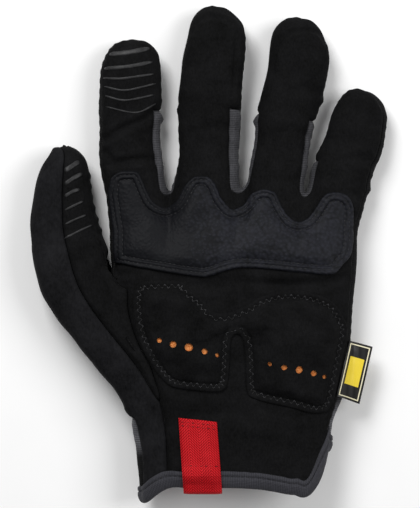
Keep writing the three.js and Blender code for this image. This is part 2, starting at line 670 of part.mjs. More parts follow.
// An upright prism over an outline in plan, tall enough to pass through the whole glove.
function prism(outline) {
  const shape = outline instanceof THREE.Shape ? outline : new THREE.Shape(outline);
  const geometry = new THREE.ExtrudeGeometry(shape, { depth: 100, bevelEnabled: false, curveSegments: 3 });
  return geometry.translate(0, 0, -20);
}

function cutLayer(layer, outline) {
  return solidOf(layer).intersect(solidOf(prism(outline)));
}

// A place on the palm: shares of its width from the middle, and of its length up.
const onPalm = (across, up) => new THREE.Vector2(across * palm_width, up * palm_length);
const curveThrough = (places, divisions, closed = true) => {
  const curve = new THREE.CatmullRomCurve3(places.map((p) => point(p.x, p.y, 0)), closed, 'centripetal');
  const line = curve.getPoints(divisions).map((p) => new THREE.Vector2(p.x, p.y));
  return closed ? line.slice(0, -1) : line;
};

// The knuckle patch: a scallop rises onto the root of each finger.
const PATCH_EDGE = [
  { across: -0.56, up: 0.78 },
  { across: -0.56, up: 1.03 },
  { across: -0.475, up: 1.09 },
  { across: -0.4, up: 1.09 },
  { across: -0.35, up: 0.99 },
  { across: -0.29, up: 0.963 },
  { across: -0.235, up: 0.985 },
  { across: -0.18, up: 1.065 },
  { across: -0.14, up: 1.074 },
  { across: -0.085, up: 1.05 },
  { across: -0.03, up: 0.963 },
  { across: 0.025, up: 0.957 },
  { across: 0.08, up: 1.005 },
  { across: 0.14, up: 1.025 },
  { across: 0.19, up: 0.985 },
  { across: 0.255, up: 0.912 },
  { across: 0.31, up: 0.925 },
  { across: 0.37, up: 1.0 },
  { across: 0.43, up: 1.015 },
  { across: 0.485, up: 0.97 },
  { across: 0.492, up: 0.88 },
  { across: 0.47, up: 0.79 },
  { across: 0.4, up: 0.738 },
  { across: 0.29, up: 0.737 },
  { across: 0.1, up: 0.755 },
  { across: -0.02, up: 0.752 },
  { across: -0.14, up: 0.73 },
  { across: -0.35, up: 0.755 },
];

// The butterfly pad: one cover with a foam core in each of its two lobes.
const PAD_EDGE = [
  { across: -0.21, up: 0.715 },
  { across: -0.17, up: 0.672 },
  { across: -0.115, up: 0.638 },
  { across: -0.02, up: 0.606 },
  { across: 0.06, up: 0.636 },
  { across: 0.11, up: 0.66 },
  { across: 0.19, up: 0.678 },
  { across: 0.27, up: 0.679 },
  { across: 0.36, up: 0.662 },
  { across: 0.42, up: 0.625 },
  { across: 0.455, up: 0.57 },
  { across: 0.46, up: 0.52 },
  { across: 0.44, up: 0.43 },
  { across: 0.41, up: 0.31 },
  { across: 0.34, up: 0.262 },
  { across: 0.24, up: 0.28 },
  { across: 0.16, up: 0.294 },
  { across: 0.062, up: 0.323 },
  { across: 0.045, up: 0.4 },
  { across: 0.035, up: 0.49 },
  { across: 0.012, up: 0.53 },
  { across: -0.01, up: 0.5 },
  { across: -0.02, up: 0.42 },
  { across: -0.03, up: 0.36 },
  { across: -0.075, up: 0.336 },
  { across: -0.16, up: 0.34 },
  { across: -0.25, up: 0.358 },
  { across: -0.32, up: 0.4 },
  { across: -0.375, up: 0.47 },
  { across: -0.41, up: 0.55 },
  { across: -0.415, up: 0.64 },
  { across: -0.37, up: 0.7 },
  { across: -0.29, up: 0.716 },
];
const PAD_MIDDLE = 0.01;                  // where the two lobes part, as a share of palm_width
const PUNCHED = [
  { across: -0.304, up: 0.51, wide: 2.5 },
  { across: -0.247, up: 0.499, wide: 3.2 },
  { across: -0.186, up: 0.488, wide: 3.9 },
  { across: -0.122, up: 0.474, wide: 3.0 },
  { across: -0.068, up: 0.461, wide: 2.2 },
  { across: 0.148, up: 0.434, wide: 2.2 },
  { across: 0.204, up: 0.423, wide: 2.7 },
  { across: 0.262, up: 0.413, wide: 3.6 },
  { across: 0.323, up: 0.399, wide: 2.9 },
  { across: 0.363, up: 0.387, wide: 2.2 },
];

// Bars printed on the index fingertip and beside the thumb's seam. at is the middle's
// share of the digit's length; left and right are the ends, and left_rise and
// right_rise how far they stand above the middle, all as shares of the digit's width,
// and so is wide.
const GRIP_BARS = {
  index: [
    { at: 0.912, left: -0.34, right: 0.33, left_rise: -0.02, right_rise: 0.07, wide: 0.082 },
    { at: 0.845, left: -0.42, right: 0.41, left_rise: -0.02, right_rise: 0.07, wide: 0.066 },
    { at: 0.758, left: -0.43, right: 0.43, left_rise: 0.05, right_rise: 0.06, wide: 0.046 },
    { at: 0.682, left: -0.43, right: 0.43, left_rise: 0.09, right_rise: 0.08, wide: 0.038 },
    { at: 0.616, left: -0.43, right: 0.41, left_rise: 0.09, right_rise: 0.07, wide: 0.038 },
    { at: 0.54, left: -0.42, right: 0.42, left_rise: 0.12, right_rise: 0.12, wide: 0.03 },
  ],
  thumb: [
    { at: 0.8, left: 0.03, right: 0.26, left_rise: -0.07, right_rise: 0.07, wide: 0.075 },
    { at: 0.69, left: 0.03, right: 0.3, left_rise: -0.08, right_rise: 0.08, wide: 0.06 },
    { at: 0.565, left: 0.01, right: 0.32, left_rise: -0.07, right_rise: 0.07, wide: 0.053 },
    { at: 0.44, left: 0.0, right: 0.36, left_rise: -0.08, right_rise: 0.08, wide: 0.04 },
    { at: 0.315, left: -0.02, right: 0.38, left_rise: -0.09, right_rise: 0.09, wide: 0.034 },
    { at: 0.19, left: -0.03, right: 0.42, left_rise: -0.11, right_rise: 0.11, wide: 0.034 },
  ],
};

// The outline of a bar, swept along a bow through its two ends and its middle.
function barOutline(name, bar) {
  const { length, width } = DIGITS[name];
  const { centre, forward, outward } = digitLine(name, bar.at);
  const place = (across, rise) => {
    const p = centre.clone().addScaledVector(outward, across * width).addScaledVector(forward, rise * width);
    return new THREE.Vector2(p.x, p.y);
  };
  const middle = (bar.left + bar.right) / 2;
  const ends = [place(bar.left, bar.left_rise), place(middle, 0), place(bar.right, bar.right_rise)];
  const line = curveThrough(ends, 4, false);
  const half = bar.wide * width / 2;
  const side = (sign) => line.map((p, i) => {
    const from = line[Math.max(i - 1, 0)];
    const to = line[Math.min(i + 1, line.length - 1)];
    const taper = i === 0 || i === line.length - 1 ? 0.45 : 1;
    const along = to.clone().sub(from).normalize();
    return new THREE.Vector2(p.x - along.y * half * sign * taper, p.y + along.x * half * sign * taper);
  });
  return [...side(-1), ...side(1).reverse()];
}

// Height of the palm's face at a place in plan.
const face_triangles = quads.filter(({ part, zone }) => part === 'palm' && zone === 'face')
  .flatMap(({ ids }) => split(ids)).map((ids) => new THREE.Triangle(...ids.map((id) => points[id])));
function faceHeight(x, y) {
  for (const triangle of face_triangles) {
    const flat = new THREE.Triangle(...[triangle.a, triangle.b, triangle.c].map((p) => point(p.x, p.y, 0)));
    const shares = flat.getBarycoord(point(x, y, 0), point(0, 0, 0));
    if (shares && Math.min(shares.x, shares.y, shares.z) >= -1e-6) {
      return shares.x * triangle.a.z + shares.y * triangle.b.z + shares.z * triangle.c.z;
    }
  }
  return undefined;
}

// The cuff binding: a channel of tape round the whole edge, over both faces of the wall.
const inner_reach = Math.max(palm_wall, back_wall, thumb_wall) + binding_gap;
const tape = {
  outside: binding_gap + binding_thick,
  outer: binding_gap,
  inner: -inner_reach,
  inside: -inner_reach - binding_thick,
};
const cuff_ring = [palm_rings[0], palm_rings[1]].map((r) => [...r.face, ...r.right, ...r.back, ...r.left]);
function bindingGeometry() {
  const sections = cuff_ring[0].map((id, i) => {
    const next = cuff_ring[1][i];
    const up = points[next].clone().sub(points[id]);
    const share = (binding_width - binding_gap - binding_thick) / up.length();
    const top = points[id].clone().addScaledVector(up, share);
    const top_normal = normals[id].clone().lerp(normals[next], share).normalize();
    up.normalize();
    const count = cuff_ring[0].length;
    const [before, after] = [cuff_ring[0].at(i - 1), cuff_ring[0][(i + 1) % count]];
    const edge = points[after].clone().sub(points[before]);
    const slant = Math.max(0.35, edge.normalize().cross(up).length());
    const low = (out, drop) =>
      points[id].clone().addScaledVector(normals[id], out).addScaledVector(up, -drop / slant);
    const high = (out) => top.clone().addScaledVector(top_normal, out);
    const drop = binding_gap + binding_thick;
    return [
      high(tape.outside), high(tape.outer), low(tape.outer, binding_gap), low(tape.inner, binding_gap),
      high(tape.inner), high(tape.inside), low(tape.inside, drop), low(tape.outside, drop),
    ];
  });
  // The tape's faces are cut along the same diagonals as the wall that they lie against.
  const triangles = [];
  sections.forEach((here, i) => {
    const there = sections[(i + 1) % sections.length];
    const next_id = (i + 1) % sections.length;
    const wall = split([cuff_ring[0][i], cuff_ring[0][next_id], cuff_ring[1][next_id], cuff_ring[1][i]]);
    const rising = wall[0].includes(cuff_ring[0][i]) && wall[0].includes(cuff_ring[1][next_id]);
    here.forEach((p, k) => {
      const next = (k + 1) % here.length;
      const upward = k === 3 || k === 7;
      if (k % 2 === 0 || rising === upward) {
        triangles.push([p, there[k], there[next]], [p, there[next], here[next]]);
      } else {
        triangles.push([p, there[k], here[next]], [there[k], there[next], here[next]]);
      }
    });
  });
  return geometryOf(triangles);
}

// The pull loop: webbing laid on the palm, over the binding, round the cuff edge and
// up the inside of the palm.
const LOOP_PLACE = { across: -0.145, lean: 0.028 };   // its middle at the cuff, and how far it leans
function loopGeometry() {
  const edge = CUFF_FRONT[1].up * palm_length;
  const clear = layer_gap + 0.12;
  const tape_top = edge + binding_width - binding_thick;
  const tape_foot = edge - binding_gap - binding_thick;
  const top_end = edge + loop_outside_length - loop_overhang;
  const inside_end = edge + loop_inside_length;
  const half = loop_thick / 2;
  const over = tape.outside + clear + half;
  const under = tape.inside - clear - half;
  const route = [];
  for (const y of [top_end, mix(top_end, tape_top, 0.33), mix(top_end, tape_top, 0.66), tape_top + 4]) {
    route.push({ y, out: clear + half });
  }
  const tape_stations = [tape_top + 0.5, mix(tape_top, tape_foot, 0.5), tape_foot];
  for (const y of tape_stations) route.push({ y, out: over });
  for (let i = 1; i < 6; i++) {
    const turn = Math.PI * i / 6;
    const reach = (loop_overhang - half) * Math.sin(turn);
    route.push({ y: tape_foot - reach, out: mix(under, over, (1 + Math.cos(turn)) / 2) });
  }
  for (const y of [...tape_stations].reverse()) route.push({ y, out: under });
  const inner = -palm_wall - clear - half;
  for (const y of [tape_top + 4, mix(tape_top, inside_end, 0.6), inside_end]) route.push({ y, out: inner });
  const across = 3;
  const grid = route.map(({ y, out }) => even(across).map((share) => {
    const x = LOOP_PLACE.across * palm_width + (share - 0.5) * loop_width - (y - edge) * LOOP_PLACE.lean;
    return point(x, y, faceHeight(x, Math.max(y, edge + 0.5)) + out);
  }));
  const corner = (i, k) => {
    const before = grid[Math.max(i - 1, 0)][k];
    const after = grid[Math.min(i + 1, grid.length - 1)][k];
    const normal = point(0, before.z - after.z, after.y - before.y).multiplyScalar(-1).normalize();
    const top = grid[i][k].clone().addScaledVector(normal, half);
    return { name: `${i} ${k}`, top, bottom: grid[i][k].clone().addScaledVector(normal, -half) };
  };
  const sheet = [];
  for (let i = 0; i < grid.length - 1; i++) {
    for (let k = 0; k < across; k++) {
      const [a, b, c, d] = [corner(i, k), corner(i + 1, k), corner(i + 1, k + 1), corner(i, k + 1)];
      sheet.push([a, b, c], [a, c, d]);
    }
  }
  return closeSheet(sheet, (c) => c.name);
}

// The side label: a folded tab held in the side seam on the little-finger side.
const LABEL_ROW = PALM_ROWS.indexOf(0.36);
function labelGeometry() {
  const side = (j) => points[palm_rings[j].right[0]].clone();
  const [foot, belly, head] = [side(LABEL_ROW - 1), side(LABEL_ROW), side(LABEL_ROW + 1)];
  const { z } = belly;
  const up = head.clone().sub(foot).setZ(0).normalize();
  const out = point(up.y, -up.x, 0);
  const proud = Math.max(0, belly.clone().sub(foot).dot(out));
  const middle = foot.clone().lerp(head, 0.5).addScaledVector(out, proud + layer_gap);
  const place = (along, away) => {
    const p = middle.clone().addScaledVector(up, along).addScaledVector(out, away);
    return new THREE.Vector2(p.x, p.y);
  };
  const half = label_length / 2;
  const corners = [place(-half, 0), place(-half, label_width), place(half, label_width), place(half, 0)];
  const shape = new THREE.Shape(corners);
  const geometry = new THREE.ExtrudeGeometry(shape, { depth: label_thick, bevelEnabled: false });
  return geometry.translate(0, 0, z - label_thick / 2);
}

const COLOURS = {
  suede: { color: 0x1c1c1d, roughness: 0.85, metalness: 0 },
  knit: { color: 0x161617, roughness: 0.9, metalness: 0 },
  strip: { color: 0x3c3c3e, roughness: 0.9, metalness: 0 },
  patch: { color: 0x29292d, roughness: 0.7, metalness: 0 },
  foam: { color: 0xd88a4a, roughness: 0.8, metalness: 0 },
  webbing: { color: 0xaa1017, roughness: 0.7, metalness: 0 },
  tape: { color: 0x39393e, roughness: 0.8, metalness: 0 },
  label: { color: 0x101010, roughness: 0.6, metalness: 0 },
  rubber: { color: 0x2c2c2c, roughness: 0.45, metalness: 0 },
};
const glove = new THREE.Group();
function addPiece(name, geometry, colour) {
  const mesh = new THREE.Mesh(geometry, new THREE.MeshStandardMaterial(COLOURS[colour]));
  mesh.name = name;
  glove.add(mesh);
}

addPiece('palm_panel', panelGeometry('palm_panel', palm_wall), 'suede');
addPiece('back_panel', panelGeometry('back_panel', back_wall), 'knit');
for (const name of STRIPS) addPiece(name, panelGeometry(name, side_wall), 'strip');
addPiece('thumb_inner_panel', panelGeometry('thumb_inner_panel', thumb_wall), 'suede');
addPiece('thumb_outer_panel', panelGeometry('thumb_outer_panel', thumb_wall), 'suede');

const palm_face = ({ part, zone }) => zone === 'face' && part !== 'thumb';
const patch_layer = layerGeometry(palm_face, () => layer_gap, () => layer_gap + knuckle_patch_thick);
const patch_line = curveThrough(PATCH_EDGE.map((p) => onPalm(p.across, p.up)), 72);
addPiece('palm_reinforcement', geometryFrom(cutLayer(patch_layer, patch_line)), 'patch');

// How far a place lies inside a closed outline, negative outside it.
function depthInside(place, outline) {
  let nearest = Infinity;
  let inside = false;
  outline.forEach((a, i) => {
    const b = outline[(i + 1) % outline.length];
    const edge = b.clone().sub(a);
    const t = Math.min(1, Math.max(0, place.clone().sub(a).dot(edge) / edge.lengthSq()));
    nearest = Math.min(nearest, place.distanceTo(a.clone().addScaledVector(edge, t)));
    if ((a.y > place.y) !== (b.y > place.y)) {
      if (place.x < a.x + (place.y - a.y) / (b.y - a.y) * (b.x - a.x)) inside = !inside;
    }
  });
  return inside ? nearest : -nearest;
}

// Foam sits in each lobe where it is deep enough, and the cover climbs over it.
const pad_line = curveThrough(PAD_EDGE.map((p) => onPalm(p.across, p.up)), 66);
const pad_split = PAD_MIDDLE * palm_width;
const padDepth = ({ x, y }) => {
  const inside = depthInside(new THREE.Vector2(x, y), pad_line);
  return Math.min(inside, Math.abs(x - pad_split));
};
const foam_edge = 0.6;                    // thickness of the foam at its rim
const foamHeight = (at) => {
  const share = smooth(pad_core_margin, pad_core_margin + pad_core_rise, padDepth(at));
  return mix(foam_edge, pad_core_thick, share);
};
const coverBottom = (at) =>
  pad_gap + (foamHeight(at) + layer_gap) * smooth(pad_core_margin - 3, pad_core_margin - 0.5, padDepth(at));
const pad_face = ({ part, zone, row, col }) => part === 'palm' && zone === 'face' && row >= thumb_first
  && row < thumb_last && col >= THUMB_STRIP;
const cover_layer = layerGeometry(pad_face, coverBottom, (at) => coverBottom(at) + pad_cover_thick, 1, 3);
let cover = cutLayer(cover_layer, pad_line);
for (const hole of PUNCHED) {
  const cutter = new THREE.CylinderGeometry(hole.wide / 2, hole.wide / 2, 100, 6);
  const { x, y } = onPalm(hole.across, hole.up);
  cutter.rotateX(Math.PI / 2).translate(x, y, 0);
  cover = cover.subtract(solidOf(cutter));
}
addPiece('palm_pad_cover', geometryFrom(cover), 'suede');

const foamTop = (at) => Math.max(pad_gap + 0.05, coverBottom(at) - layer_gap);
const foam_layer = layerGeometry(pad_face, () => pad_gap, foamTop, 1, 3);
const LOBES = {
  pad_core_thumb_side: { across: -0.2, up: 0.52 },
  pad_core_little_side: { across: 0.25, up: 0.47 },
};
const LOBE_SIDES = 20;
for (const [name, lobe] of Object.entries(LOBES)) {
  const centre = onPalm(lobe.across, lobe.up);
  const outline = even(LOBE_SIDES).slice(0, -1).map((turn) => {
    const way = new THREE.Vector2(Math.cos(2 * Math.PI * turn), Math.sin(2 * Math.PI * turn));
    let reach = 0;
    while (padDepth(centre.clone().addScaledVector(way, reach + 0.25)) > pad_core_margin) reach += 0.25;
    return centre.clone().addScaledVector(way, reach);
  });
  addPiece(name, geometryFrom(cutLayer(foam_layer, outline)), 'foam');
}

for (const name of ['index', 'thumb']) {
  const digit_face = ({ part, zone }) => part === name && zone === 'face';
  const layer = layerGeometry(digit_face, () => layer_gap, () => layer_gap + grip_bar_thick);
  GRIP_BARS[name].forEach((bar, i) => {
    const piece = cutLayer(layer, barOutline(name, bar));
    addPiece(`grip_bar_${name}_${i + 1}`, geometryFrom(piece), 'rubber');
  });
}

addPiece('cuff_binding', bindingGeometry(), 'tape');
addPiece('pull_loop', loopGeometry(), 'webbing');
addPiece('side_label', labelGeometry(), 'label');

// The origin is at the middle of the whole glove's box, on the surface it lies on.
const box = new THREE.Box3().setFromObject(glove);
const middle = box.getCenter(point(0, 0, 0));
glove.position.set(-middle.x, -middle.y, -box.min.z);

export default glove;
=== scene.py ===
"""A left-hand mechanic's work glove, lying on its back with the palm up, fingers along +Y."""
import math
import bpy
import numpy as np
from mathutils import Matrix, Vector
from mathutils.bvhtree import BVHTree
from mathutils.geometry import delaunay_2d_cdt
from mathutils.kdtree import KDTree


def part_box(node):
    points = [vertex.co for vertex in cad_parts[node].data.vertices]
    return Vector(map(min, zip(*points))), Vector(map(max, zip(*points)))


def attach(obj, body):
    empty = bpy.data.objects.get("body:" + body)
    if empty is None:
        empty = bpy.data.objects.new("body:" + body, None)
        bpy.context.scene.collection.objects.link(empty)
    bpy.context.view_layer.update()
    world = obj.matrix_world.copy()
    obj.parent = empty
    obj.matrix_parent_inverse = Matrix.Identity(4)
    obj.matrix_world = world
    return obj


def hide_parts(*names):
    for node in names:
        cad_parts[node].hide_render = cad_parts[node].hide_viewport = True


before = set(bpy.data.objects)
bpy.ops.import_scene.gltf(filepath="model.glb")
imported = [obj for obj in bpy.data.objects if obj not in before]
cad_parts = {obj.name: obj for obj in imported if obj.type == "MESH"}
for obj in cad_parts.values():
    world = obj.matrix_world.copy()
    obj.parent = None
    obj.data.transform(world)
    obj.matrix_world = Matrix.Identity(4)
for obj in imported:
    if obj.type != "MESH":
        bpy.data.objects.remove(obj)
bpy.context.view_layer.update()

# The stuffed hand.
# A sewn glove keeps the shape of the hand it was pressed on: five digits of rounded section
# grow out of a flat palm. Every panel below is cut from this one skin, worked in millimetres
# from the middle of the cuff.
palm_length, palm_width, palm_height = 145, 121, 26
wrist_width, wrist_height, knuckle_height = 91, 29, 21
side_seam_band, edge_round, back_round = 8.4, 30, 15
crotch_dip, crotch_crown, floor_press = 3.2, 1.6, 1.1
binding_fold, side_bulge, gusset_pull = 1.55, 0.16, 0.9
cuff_middle = (12.487, -116.739, 0)
# A millimetre in metres, and how many features of a millimetre fit in a metre.
mm, per_mm = 0.001, 1000

# across and along place each root; heading is degrees from +Y; twist turns the side seams.
DIGITS = {
    "thumb": dict(across=-0.678, along=0.81, heading=-4.8, length=53.5, width=33, thick=23, twist=0),
    "index": dict(across=-0.405, along=1.024, heading=-2.8, length=75.8, width=30.5, thick=18, twist=13),
    "middle": dict(across=-0.112, along=1.031, heading=3.1, length=91.6, width=30.5, thick=18.5, twist=27),
    "ring": dict(across=0.174, along=1.038, heading=8.7, length=85.5, width=29, thick=18, twist=10),
    "little": dict(across=0.426, along=1.003, heading=14.1, length=55.4, width=29, thick=17, twist=2),
}
FINGERS = ["index", "middle", "ring", "little"]
# Sections from root to tip: share of length, shift, width, depth and lift of the relaxed curl.
SECTIONS = {
    "thumb": [(0, 0, 1.12, 1.08, 0), (0.1, -0.03, 1.07, 1.05, 0), (0.24, -0.05, 1.01, 1, 0.02),
              (0.38, -0.04, 0.94, 0.97, 0.04), (0.53, -0.025, 0.84, 0.94, 0.06), (0.68, 0.005, 0.77, 0.9, 0.09),
              (0.82, 0.035, 0.65, 0.8, 0.13), (0.91, 0.05, 0.46, 0.62, 0.21), (0.97, 0.03, 0.29, 0.4, 0.31),
              (1, 0, 0, 0, 0.5)],
    "index": [(0, 0, 0.99, 1.06, 0), (0.12, -0.035, 1.01, 1.02, 0), (0.25, -0.065, 0.99, 1, 0.01),
              (0.38, -0.055, 0.97, 0.98, 0.02), (0.52, -0.025, 1, 1, 0.03), (0.66, -0.01, 1, 0.97, 0.05),
              (0.79, -0.005, 0.96, 0.93, 0.07), (0.89, 0.03, 0.86, 0.83, 0.11), (0.96, 0.03, 0.62, 0.58, 0.23),
              (0.988, 0.01, 0.34, 0.34, 0.35), (1, 0, 0, 0, 0.52)],
    "middle": [(0, 0, 1.13, 1.06, 0), (0.09, 0.01, 1.03, 1.02, 0), (0.19, 0.01, 0.97, 0.98, 0.01),
               (0.31, 0, 1.01, 1, 0.02), (0.44, -0.02, 1.03, 1.02, 0.03), (0.56, -0.01, 1.0, 0.98, 0.04),
               (0.7, 0.01, 1, 0.96, 0.06), (0.81, 0.028, 0.965, 0.92, 0.08), (0.9, 0.03, 0.84, 0.83, 0.12),
               (0.96, 0.01, 0.58, 0.6, 0.23), (0.988, 0, 0.33, 0.34, 0.36), (1, 0, 0, 0, 0.53)],
    "ring": [(0, 0, 0.99, 1.06, 0), (0.09, 0, 0.955, 1.02, 0), (0.19, 0, 0.94, 0.98, 0.01),
             (0.29, 0, 0.95, 0.98, 0.02), (0.41, -0.01, 1.01, 1, 0.03), (0.55, 0.04, 1.02, 0.98, 0.04),
             (0.7, 0.055, 1.01, 0.96, 0.06), (0.82, 0.04, 0.96, 0.92, 0.09), (0.9, 0.01, 0.85, 0.82, 0.13),
             (0.96, 0, 0.6, 0.6, 0.24), (0.988, 0, 0.35, 0.35, 0.37), (1, 0, 0, 0, 0.54)],
    "little": [(0, 0, 1, 1.06, 0), (0.13, 0, 1.01, 1.02, 0), (0.27, -0.005, 1.03, 1, 0.02),
               (0.4, 0.035, 1.01, 0.98, 0.03), (0.54, 0.07, 0.99, 0.97, 0.05), (0.68, 0.065, 0.95, 0.94, 0.07),
               (0.82, 0.06, 0.86, 0.86, 0.11), (0.92, 0.03, 0.65, 0.66, 0.2), (0.975, 0, 0.38, 0.4, 0.34),
               (1, 0, 0, 0, 0.53)],
}
STRIP_ENDS = {"index": 0.52, "middle": 0.5, "ring": 0.41, "little": 0.33}
# Rows up the palm: left edge and its height, thumb seam and its height, right edge and its height.
PALM_LINES = [
    (0, -0.03, -0.04, 0.545, 0.0165, 0.06, 0.131), (0.05, 0, 0.02, 0.55, 0.075, 0.08, 0.188),
    (0.14, 0.06, 0.135, 0.562, 0.19, 0.14, 0.24), (0.24, 0.3, 0.238, 0.61, 0.3, 0.42, 0.315),
    (0.36, 0.5, 0.36, 0.67, 0.41, 0.66, 0.41), (0.48, 0.75, 0.48, 0.765, 0.49, 0.78, 0.51),
    (0.6, 0.9, 0.6, 0.835, 0.585, 0.84, 0.62), (0.72, 0.97, 0.717, 0.85, 0.69, 0.92, 0.73),
    (0.81, 1, 0.8, 0.84, 0.79, 0.98, 0.81), (0.9, 1.06, 0.905, 0.825, 0.9, 1.06, 0.89),
    (1, 1.24, 1.02, 0.81, 1.024, 1.33, 0.98),
]
LEFT, SEAM, RIGHT = 1, 3, 5
CUFF_FRONT = [
    (0, 0.0165), (0.4, 0.018), (0.62, 0.01), (0.75, -0.004), (0.85, -0.009), (0.93, 0.002), (1, 0.131)]
CUFF_BACK = [(0, 0.03), (0.3, 0.045), (0.6, 0.045), (0.86, 0.05), (0.94, 0.07), (1, 0.131)]
# Rows up the palm: face height, share of wrist height, middle of the side, and how far the palm
# runs into the thumb.
PALM_HEIGHTS = [
    (0, 1, 1, 0.5, 0), (0.14, 1, 0.6, 0.5, 0), (0.24, 1, 0.2, 0.5, 0.02), (0.36, 1, 0, 0.49, 0.9),
    (0.6, 0.96, 0, 0.47, 0.85), (0.72, 0.85, 0, 0.46, 0.05), (0.86, 0.5, 0, 0.45, 0), (1, 0, 0, 0.44, 0)]
PALM_ROWS = [0, 0.05, 0.095, 0.14, 0.19, 0.24, 0.3, 0.36, 0.42, 0.48, 0.54, 0.6, 0.66, 0.72, 0.765, 0.81,
             0.855, 0.9, 0.95, 1]
thumb_first, thumb_last = PALM_ROWS.index(0.24), PALM_ROWS.index(0.72)
face_count, side_count, web_count, thumb_strip, gusset_rows = 4, 2, 2, 2, 5
side_angle, section_power, root_power = 25, 2.3, 3


def hermite(a, slope_a, b, slope_b, t):
    return ((2 * t**3 - 3 * t**2 + 1) * a + (t**3 - 2 * t**2 + t) * slope_a
            + (-2 * t**3 + 3 * t**2) * b + (t**3 - t**2) * slope_b)


def read_table(table, column, at):
    """A column of a table at a place between its rows, on a smooth curve through them."""
    i = 0
    while i < len(table) - 2 and at > table[i + 1][0]:
        i += 1
    a, b = table[i], table[i + 1]
    span = b[0] - a[0]
    slope = lambda low, high: (high[column] - low[column]) / (high[0] - low[0])
    slope_a = slope(table[i - 1], b) if i > 0 else slope(a, b)
    slope_b = slope(a, table[i + 2]) if i < len(table) - 2 else slope(a, b)
    return hermite(a[column], span * slope_a, b[column], span * slope_b, (at - a[0]) / span)


def smooth(low, high, x):
    t = np.clip((x - low) / (high - low), 0, 1)
    return t * t * (3 - 2 * t)


def mix(a, b, t):
    return a + (b - a) * t


def unit(v):
    v = np.asarray(v, float)
    return v / np.maximum(np.linalg.norm(v, axis=-1, keepdims=True), 1e-12)


def digit_line(name, at):
    """The middle of a digit's section on the table, the way the digit runs, and its way out to the right."""
    d = DIGITS[name]
    heading = math.radians(d["heading"])
    forward = np.array([math.sin(heading), math.cos(heading), 0])
    outward = np.array([math.cos(heading), -math.sin(heading), 0])
    root = np.array([d["across"] * palm_width, d["along"] * palm_length, 0])
    centre = root + forward * at * d["length"] + outward * read_table(SECTIONS[name], 1, at) * d["width"]
    return centre, forward, outward


def digit_point(name, at, angle):
    """A point on a digit's skin, its angle counted from the right hand side upwards."""
    d = DIGITS[name]
    centre, _, outward = digit_line(name, at)
    half_wide = max(0, read_table(SECTIONS[name], 2, at)) * d["width"] / 2
    half_deep = max(0, read_table(SECTIONS[name], 3, at)) * d["thick"] / 2
    power = 2 / mix(root_power, section_power, smooth(0, 0.3, at))
    c, s = math.cos(math.radians(angle)), math.sin(math.radians(angle))
    x = half_wide * math.copysign(abs(c) ** power, c)
    z = half_deep * math.copysign(abs(s) ** power, s)
    height = half_deep + read_table(SECTIONS[name], 4, at) * d["thick"] - floor_press
    p = centre + outward * x
    p[2] = max(0, z + height)
    return p


def ring_angles(name, split):
    """Where a digit's skin has its lengthwise edges: over the face, down the right, back and up the left."""
    twist = DIGITS[name]["twist"]
    corner = [180 - side_angle, side_angle, -side_angle, side_angle - 180]
    face = [mix(corner[0], corner[1], share) + twist for share in split]
    back = [mix(corner[3], corner[2], share) + twist for share in reversed(split)]
    right = [mix(face[-1], back[0], i / side_count) for i in range(1, side_count)]
    left = [mix(back[-1], face[0] - 360, i / side_count) for i in range(1, side_count)]
    return face + right + back + left


points, quads = [], []


def add_point(p):
    points.append(np.asarray(p, float))
    return len(points) - 1


def ring_zone(i, count):
    """The side of a ring that its edge i lies on, and the column there."""
    if i < count:
        return "face", i
    if i < count + side_count:
        return "right", i - count
    if i < 2 * count + side_count:
        return "back", 2 * count + side_count - 1 - i
    return "left", 2 * count + 2 * side_count - 1 - i


def join_rings(near, far, part, row, count, at, skip=lambda zone, col: False):
    for i in range(len(near)):
        nxt = (i + 1) % len(near)
        zone, col = ring_zone(i, count)
        if not skip(zone, col):
            quads.append(([near[i], near[nxt], far[nxt], far[i]], part, zone, row, col, at))


def grow_digit(name, root, split):
    angles = ring_angles(name, split)
    stations = [s[0] for s in SECTIONS[name]]
    near = root
    for i in range(1, len(stations)):
        if i < len(stations) - 1:
            far = [add_point(digit_point(name, stations[i], angle)) for angle in angles]
        else:
            far = [add_point(digit_point(name, stations[i], 90))] * len(near)
        join_rings(near, far, name, i, len(split) - 1, (stations[i - 1] + stations[i]) / 2)
        near = far


def even(n):
    return [i / n for i in range(n + 1)]


roots = {}
for name in FINGERS:
    roots[name] = [add_point(digit_point(name, 0, angle)) for angle in ring_angles(name, even(face_count))]
    grow_digit(name, roots[name], even(face_count))

webs = []
for k in range(len(FINGERS) - 1):
    ring, other = roots[FINGERS[k]], roots[FINGERS[k + 1]]
    here = ring[face_count:face_count + side_count + 1]
    there = [other[0]] + other[2 * face_count + side_count:][::-1]
    forward = unit(digit_line(FINGERS[k], 0)[1] + digit_line(FINGERS[k + 1], 0)[1])
    columns = [here]
    for c in range(1, web_count):
        share = c / web_count
        bow = 4 * share * (1 - share)
        columns.append([
            add_point(mix(points[here[t]], points[there[t]], share)
                      - forward * bow * (crotch_dip - crotch_crown * math.sin(math.pi * t / side_count)))
            for t in range(side_count + 1)])
    columns.append(there)
    for c in range(web_count):
        for t in range(side_count):
            ids = [columns[c][t], columns[c + 1][t], columns[c + 1][t + 1], columns[c][t + 1]]
            quads.append((ids, "web", "web", k, c, 0))
    webs.append(columns)


def knuckle_row(edge):
    """The skin's points across the knuckles, where the fingers grow out of the palm."""
    row = []
    for k, name in enumerate(FINGERS):
        ring = roots[name]
        back = ring[face_count + side_count:2 * face_count + side_count + 1][::-1]
        row += ring[:face_count + 1] if edge == "face" else back
        if k < len(webs):
            row += [column[0 if edge == "face" else side_count] for column in webs[k][1:-1]]
    return row


half_palm, half_wrist = palm_width / 2, wrist_width / 2
knuckles = {"face": knuckle_row("face"), "back": knuckle_row("back")}
last_column = len(knuckles["face"]) - 1


